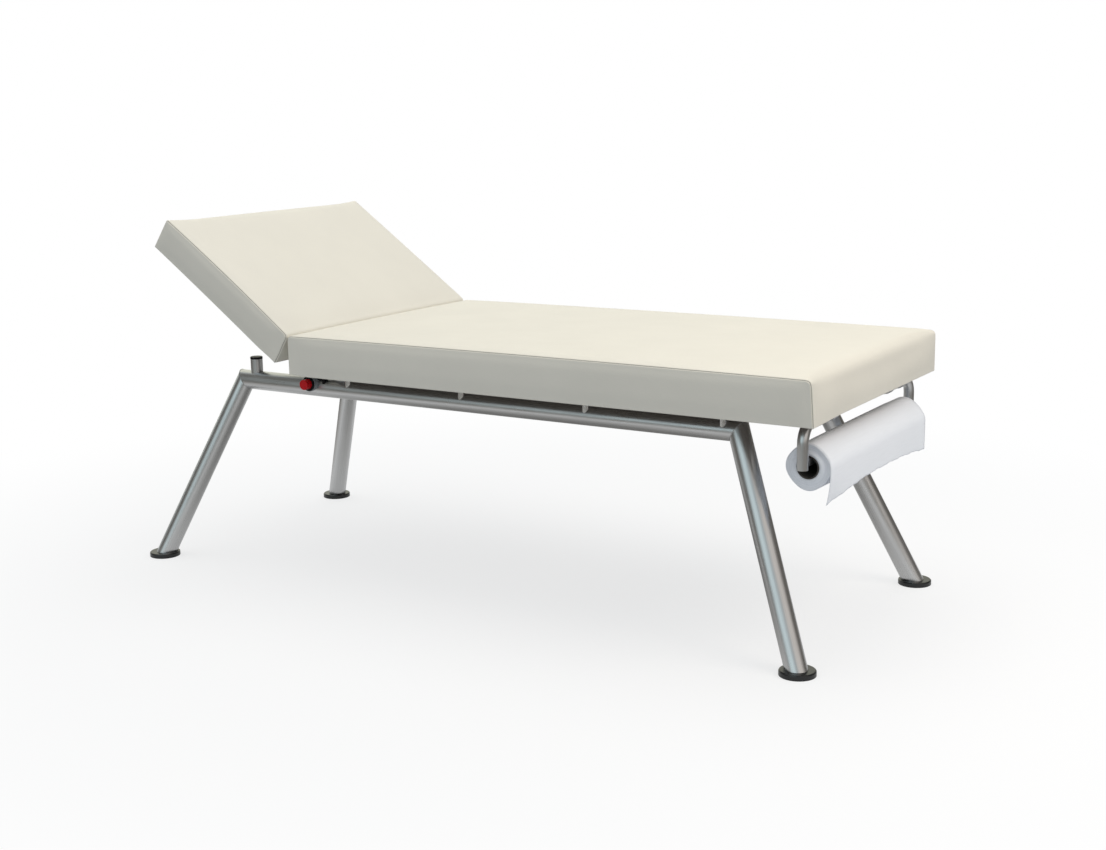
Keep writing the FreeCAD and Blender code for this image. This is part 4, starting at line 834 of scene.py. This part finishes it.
class EXAMTABLE_OT_steel_frame(bpy.types.Operator):
    """Brushed stainless on rails, legs, posts and hooks, and the dressed welds on the mitres"""

    bl_idname = "examtable.steel_frame"
    bl_label = "Steel frame"

    def execute(self, context):
        settings = context.scene.examtable_steel
        colour = settings.tube
        lengthwise, crosswise, upright = Vector((1, 0, 0)), Vector((0, 1, 0)), Vector((0, 0, 1))
        for starts, name, tone, axis, roughness in (
                (("side_rail",), "brushed stainless, rail", colour, lengthwise, 0.30),
                (("rest_post_right", "rest_post_left", "roll_hook"), "brushed stainless, post", colour, upright, 0.32),
                # Painted highlight: the standoffs' stainless is drawn much lighter than the tubes', as if lit.
                (("pad_standoffs",), "turned stainless with painted highlight, standoff", linear("#EDEEEE"), upright, 0.22),
                (("cross_tube",), "brushed stainless, cross tube", colour, crosswise, 0.30)):
            paint([n for n in frame["nodes"] if n.startswith(starts)], brushed_stainless(name, tone, axis, roughness))
        rings = []
        for end, x in (("head", -1), ("foot", 1)):
            for side, y in (("right", -1), ("left", 1)):
                corner = Vector((x * RAIL_END.x, y * RAIL_END.y, RAIL_END.z))
                foot = Vector((x * LEG_FOOT.x, y * LEG_FOOT.y, 0))
                leg = (foot - corner).normalized()
                steel = brushed_stainless("brushed stainless, %s %s leg" % (end, side), colour, leg, 0.30)
                paint(["leg_%s_%s" % (end, side)], steel)
                rings.append(self.mitre_line(corner, leg + x * lengthwise))
        welds = line_mesh("mitre_welds", rings, closed=True)
        weld = brushed_stainless("brushed stainless, dressed weld", shade(colour, 0.8), upright, 0.30)
        grow(welds, self.bead_tree(), {"Radius": settings.bead, "Material": weld})
        dress(welds, weld, "frame")
        return {"FINISHED"}

    def mitre_line(self, corner, normal):
        """The oval in which rail and leg meet."""
        line = []
        count = 64
        for number in range(count):
            angle = 2 * math.pi * number / count
            y, z = TUBE_RADIUS * math.cos(angle), TUBE_RADIUS * math.sin(angle)
            line.append(corner + Vector((-(normal.y * y + normal.z * z) / normal.x, y, z)))
        return line

    def bead_tree(self):
        """Geometry nodes: a round bead along a closed line."""
        tree, given = start_tree("weld bead", ("Radius",))
        line = add(tree, "GeometryNodeMeshToCurve", {"Mesh": given["Geometry"]})
        section = add(tree, "GeometryNodeCurvePrimitiveCircle", {"Resolution": 10, "Radius": given["Radius"]})
        bead = add(tree, "GeometryNodeCurveToMesh", {"Curve": line, "Profile Curve": section})
        return end_tree(tree, given, bead)


class EXAMTABLE_OT_fittings(bpy.types.Operator):
    """Finishes of hinges, screws, strut, release, feet and boards"""

    bl_idname = "examtable.fittings"
    bl_label = "Fittings"

    def execute(self, context):
        settings = context.scene.examtable_fittings
        finishes = {
            "zinc_steel": zinc_plated_steel("zinc plated steel"),
            "polished_rod": chromed_rod("hard chrome"),
            "strut_paint": moulded("black stoved paint", linear("#16171A"), 0.32, 0.004, 0.15),
            "foot_rubber": moulded("moulded black rubber", settings.rubber, 0.30, 0.003, 0.25, 0.6),
            "black_plastic": moulded("moulded black nylon", linear("#151517"), 0.42, 0.002, 0.25, 0.15),
            "cable_sheath": moulded("extruded black PVC", linear("#1C1C1E"), 0.45, 0.002, 0.15),
            "button_red": moulded("moulded red ABS", settings.button, 0.42, 0.003, 0.08, 0.25),
            "housing_grey": moulded("die cast housing, grey lacquer", settings.housing, 0.38, 0.003, 0.2),
            "plywood": film_faced_plywood("film faced plywood"),
            "core_board": grey_cardboard("spiral wound board"),
        }
        for slot, material in finishes.items():
            names = [n for n in frame["nodes"] if slot_of(n) == slot]
            if not names:
                raise RuntimeError("no part has the finish " + slot)
            paint(names, material)
        return {"FINISHED"}


class EXAMTABLE_OT_button_spring(bpy.types.Operator):
    """Coil behind the release button"""

    bl_idname = "examtable.button_spring"
    bl_label = "Button spring"

    def execute(self, context):
        settings = context.scene.examtable_fittings
        low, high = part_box("button_spring")
        middle = (low + high) / 2
        back = Vector((middle.x, high.y, middle.z))
        wire = settings.spring_wire
        steel = chromed_rod("bright spring steel")
        spring = line_mesh("button_return_spring", [])
        grow(spring, self.coil_tree(), {
            "Turns": settings.spring_turns, "Coil radius": (high.x - low.x - wire) / 2,
            "Length": high.y - low.y - wire, "Wire radius": wire / 2, "Place": back - Vector((0, wire / 2, 0)),
            "Material": steel})
        dress(spring, steel, "frame")
        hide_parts("button_spring")
        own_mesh(spring)
        return {"FINISHED"}

    def coil_tree(self):
        """Geometry nodes: a round wire along a coil, from the place given towards the button."""
        tree, given = start_tree("coil spring", ("Turns", "Coil radius", "Length", "Wire radius", "Place"))
        coil = add(tree, "GeometryNodeCurveSpiral", {
            "Resolution": 32, "Rotations": given["Turns"], "Start Radius": given["Coil radius"],
            "End Radius": given["Coil radius"], "Height": given["Length"]})
        section = add(tree, "GeometryNodeCurvePrimitiveCircle", {"Resolution": 10, "Radius": given["Wire radius"]})
        wire = add(tree, "GeometryNodeCurveToMesh", {"Curve": coil, "Profile Curve": section, "Fill Caps": True})
        placed = add(tree, "GeometryNodeTransform", {
            "Geometry": wire, "Translation": given["Place"], "Rotation": (math.pi / 2, 0, 0)})
        return end_tree(tree, given, placed)


class EXAMTABLE_OT_pads(bpy.types.Operator):
    """Main and head pads: foam under sewn leatherette, with stitched seams"""

    bl_idname = "examtable.pads"
    bl_label = "Pads"

    def execute(self, context):
        settings = context.scene.examtable_pads
        cover = leatherette("cream PVC leatherette", settings.leather)
        thread = polyester_thread("polyester thread", settings.thread)
        tree = stitch_tree()
        values = {"Pitch": settings.stitch_pitch, "Length": settings.stitch_length,
                  "Thickness": settings.stitch_thick, "Material": thread}
        pads = (("main_pad", MAIN_ENDS, MAIN_UNDER, True, "frame", "main_cushion"),
                ("head_pad", HEAD_ENDS, HEAD_UNDER, False, "head_section", "head_cushion"))
        for name, ends, under, hinge_at_low, body, node in pads:
            pad, seams = make_pad(name, ends, under, hinge_at_low, settings)
            if body == "head_section":
                for vertex in pad.data.vertices:
                    vertex.co = raised(vertex.co)
                seams = [[raised(p) for p in seam] for seam in seams]
            dress(pad, cover, body)
            pad.data.set_sharp_from_angle(angle=math.radians(62))
            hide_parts(node)
            stitches = line_mesh(name + "_stitches", seams)
            grow(stitches, tree, values)
            dress(stitches, thread, body)
        return {"FINISHED"}


# End of the soft roll, from the bore to the rim: radius, and how far the end lies in from the full length.
ROLL_END = (
    (BORE_RADIUS, 0.0022), (0.0268, 0.0008), (0.0295, 0.0), (0.0325, 0.0006), (0.0350, 0.0024), (0.0375, 0.0044),
    (0.0405, 0.0054), (0.0440, 0.0050), (0.0470, 0.0040), (0.0492, 0.0033), (0.0506, 0.0033), (0.0515, 0.0038),
    (ROLL_RADIUS, 0.0055))
PRESS, PRESS_BLEND = 0.0030, 0.10  # depth of the roll's flats at its ends, and the length over which they fade
PRESS_MIDDLE = 0.25  # share of that depth at mid-length
NEAR_FROM = 0.55  # share of the half-width from which the sheet's near corner hangs and curls more
NEAR_DROP = 0.004
TEAR_COARSE, TEAR_FINE = 0.0008, 0.0006  # waves of the torn edge
NARROWED, NARROWING_TURN = 0.0045, 0.5  # the sheet keeps inside the roll's rounded rims, from this angle on
CLOSE, LIFTED = 0.00008, 0.00032  # how far the sheet lies off the roll, and how much more where it leaves it
LIFTING_TURN = 0.7  # angle over which it lifts
HANGS_OUT = 0.0004  # how much further out its lower edge hangs
CURL_MIDDLE, WAVE = 0.0015, 0.0007  # curl at mid-width, and slow waves of the hanging end


class EXAMTABLE_OT_paper(bpy.types.Operator):
    """Wound couch paper on its core, with the free end hanging"""

    bl_idname = "examtable.paper"
    bl_label = "Paper"

    def execute(self, context):
        settings = context.scene.examtable_paper
        self.wind_roll(wound_paper("wound couch paper", settings.white))
        self.hang_end(settings, couch_paper("creped couch paper", settings.white))
        return {"FINISHED"}

    def press(self, angle, y):
        """How far the soft roll is pressed out of round: four slight flats, most at its ends."""
        soft = PRESS_MIDDLE + (1 - PRESS_MIDDLE) * smooth(1 - (ROLL_HALF - abs(y)) / PRESS_BLEND)
        return PRESS * (0.5 - 0.5 * math.cos(4 * angle)) * soft

    def wind_roll(self, paper):
        """A soft roll: ends dished between core and rim, the rim rounded and pressed a little out of round."""
        steps, around = 40, 160
        near = [(r, -ROLL_HALF + d) for r, d in ROLL_END]
        far = [(r, ROLL_HALF - d) for r, d in reversed(ROLL_END)]
        inside = near[-1][1]
        body = [(ROLL_RADIUS, inside + (far[0][1] - inside) * i / steps) for i in range(1, steps)]
        line = near + body + far
        points, faces = [], []
        for radius, y in line:
            for number in range(around):
                angle = 2 * math.pi * number / around
                r = radius - self.press(angle, y) * (radius - BORE_RADIUS) / (ROLL_RADIUS - BORE_RADIUS)
                points.append(ROLL_AXIS + Vector((r * math.cos(angle), y, r * math.sin(angle))))
        for row in range(len(line)):
            here, after = row * around, (row + 1) % len(line) * around
            for number in range(around):
                turn = (number + 1) % around
                faces.append((here + number, after + number, after + turn, here + turn))
        roll = new_piece("wound_paper_roll", points, faces, paper, "paper_roll")
        outward(roll)
        roll.data.set_sharp_from_angle(angle=math.radians(50))
        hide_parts("paper_roll")

    def hang_end(self, settings, paper):
        """The free end lies on the roll, leaves it at the foot side and hangs, its torn edge hollow and curling."""
        columns, bends, falls = 60, 84, 22
        arc = ROLL_RADIUS * settings.wrap
        points, faces, area = [], [], 0.0
        for column in range(columns + 1):
            y = -ROLL_HALF + 2 * ROLL_HALF * column / columns
            share = y / ROLL_HALF
            drop = settings.drop + settings.corner_drop * share * share
            near = smooth((-share - NEAR_FROM) / (1 - NEAR_FROM))
            drop += NEAR_DROP * near + TEAR_COARSE * math.sin(23 * share) + TEAR_FINE * math.sin(51 * share + 1)
            area += (arc + drop) * 2 * ROLL_HALF / columns * (0.5 if column in (0, columns) else 1.0)
            for bend in range(bends):
                angle = settings.wrap * (1 - bend / bends)
                on_roll = y * (1 - NARROWED / ROLL_HALF * smooth(angle / NARROWING_TURN))
                radius = ROLL_RADIUS - self.press(angle, on_roll) + CLOSE + LIFTED * smooth(1 - angle / LIFTING_TURN)
                points.append(ROLL_AXIS + Vector((radius * math.cos(angle), on_roll, radius * math.sin(angle))))
            for fall in range(falls + 1):
                part = fall / falls
                curl = (CURL_MIDDLE + settings.curl * near) * part ** 2
                wave = WAVE * math.sin(7 * share + 0.6) * part
                off = CLOSE + LIFTED + HANGS_OUT * part - curl + wave
                points.append(ROLL_AXIS + Vector((ROLL_RADIUS + off, y, -drop * part)))
        rows = bends + falls + 1
        for column in range(columns):
            for row in range(rows - 1):
                a = column * rows + row
                faces.append((a, a + 1, a + rows + 1, a + rows))
        sheet = new_piece("paper_free_end", points, faces, paper, "frame")
        thick = sheet.modifiers.new("thickness", "SOLIDIFY")
        thick.thickness, thick.offset = settings.thickness, 1.0
        settle(sheet)
        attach(sheet, "frame")
        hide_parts("paper_tail")


class EXAMTABLE_PT_panel(bpy.types.Panel):
    """Operators of the examination table"""

    bl_idname = "EXAMTABLE_PT_panel"
    bl_label = "Examination table"
    bl_space_type = "VIEW_3D"
    bl_region_type = "UI"
    bl_category = "Examination table"

    def draw(self, context):
        for operator in OPERATORS:
            self.layout.operator(operator.bl_idname)


OPERATORS = (EXAMTABLE_OT_stage, EXAMTABLE_OT_steel_frame, EXAMTABLE_OT_fittings, EXAMTABLE_OT_button_spring,
             EXAMTABLE_OT_pads, EXAMTABLE_OT_paper)
SETTINGS = {
    "examtable_pads": PadSettings,
    "examtable_paper": PaperSettings,
    "examtable_steel": SteelSettings,
    "examtable_fittings": FittingSettings,
    "examtable_studio": StudioSettings,
}


def register():
    for kind in (*SETTINGS.values(), *OPERATORS, EXAMTABLE_PT_panel):
        bpy.utils.register_class(kind)
    for name, kind in SETTINGS.items():
        setattr(bpy.types.Scene, name, bpy.props.PointerProperty(type=kind))


def unregister():
    for name in SETTINGS:
        delattr(bpy.types.Scene, name)
    for kind in (EXAMTABLE_PT_panel, *reversed(OPERATORS), *reversed(tuple(SETTINGS.values()))):
        bpy.utils.unregister_class(kind)


def main():
    register()
    bpy.ops.examtable.stage()
    bpy.ops.examtable.steel_frame()
    bpy.ops.examtable.fittings()
    bpy.ops.examtable.button_spring()
    bpy.ops.examtable.pads()
    bpy.ops.examtable.paper()


if __name__ == "__main__":
    main()
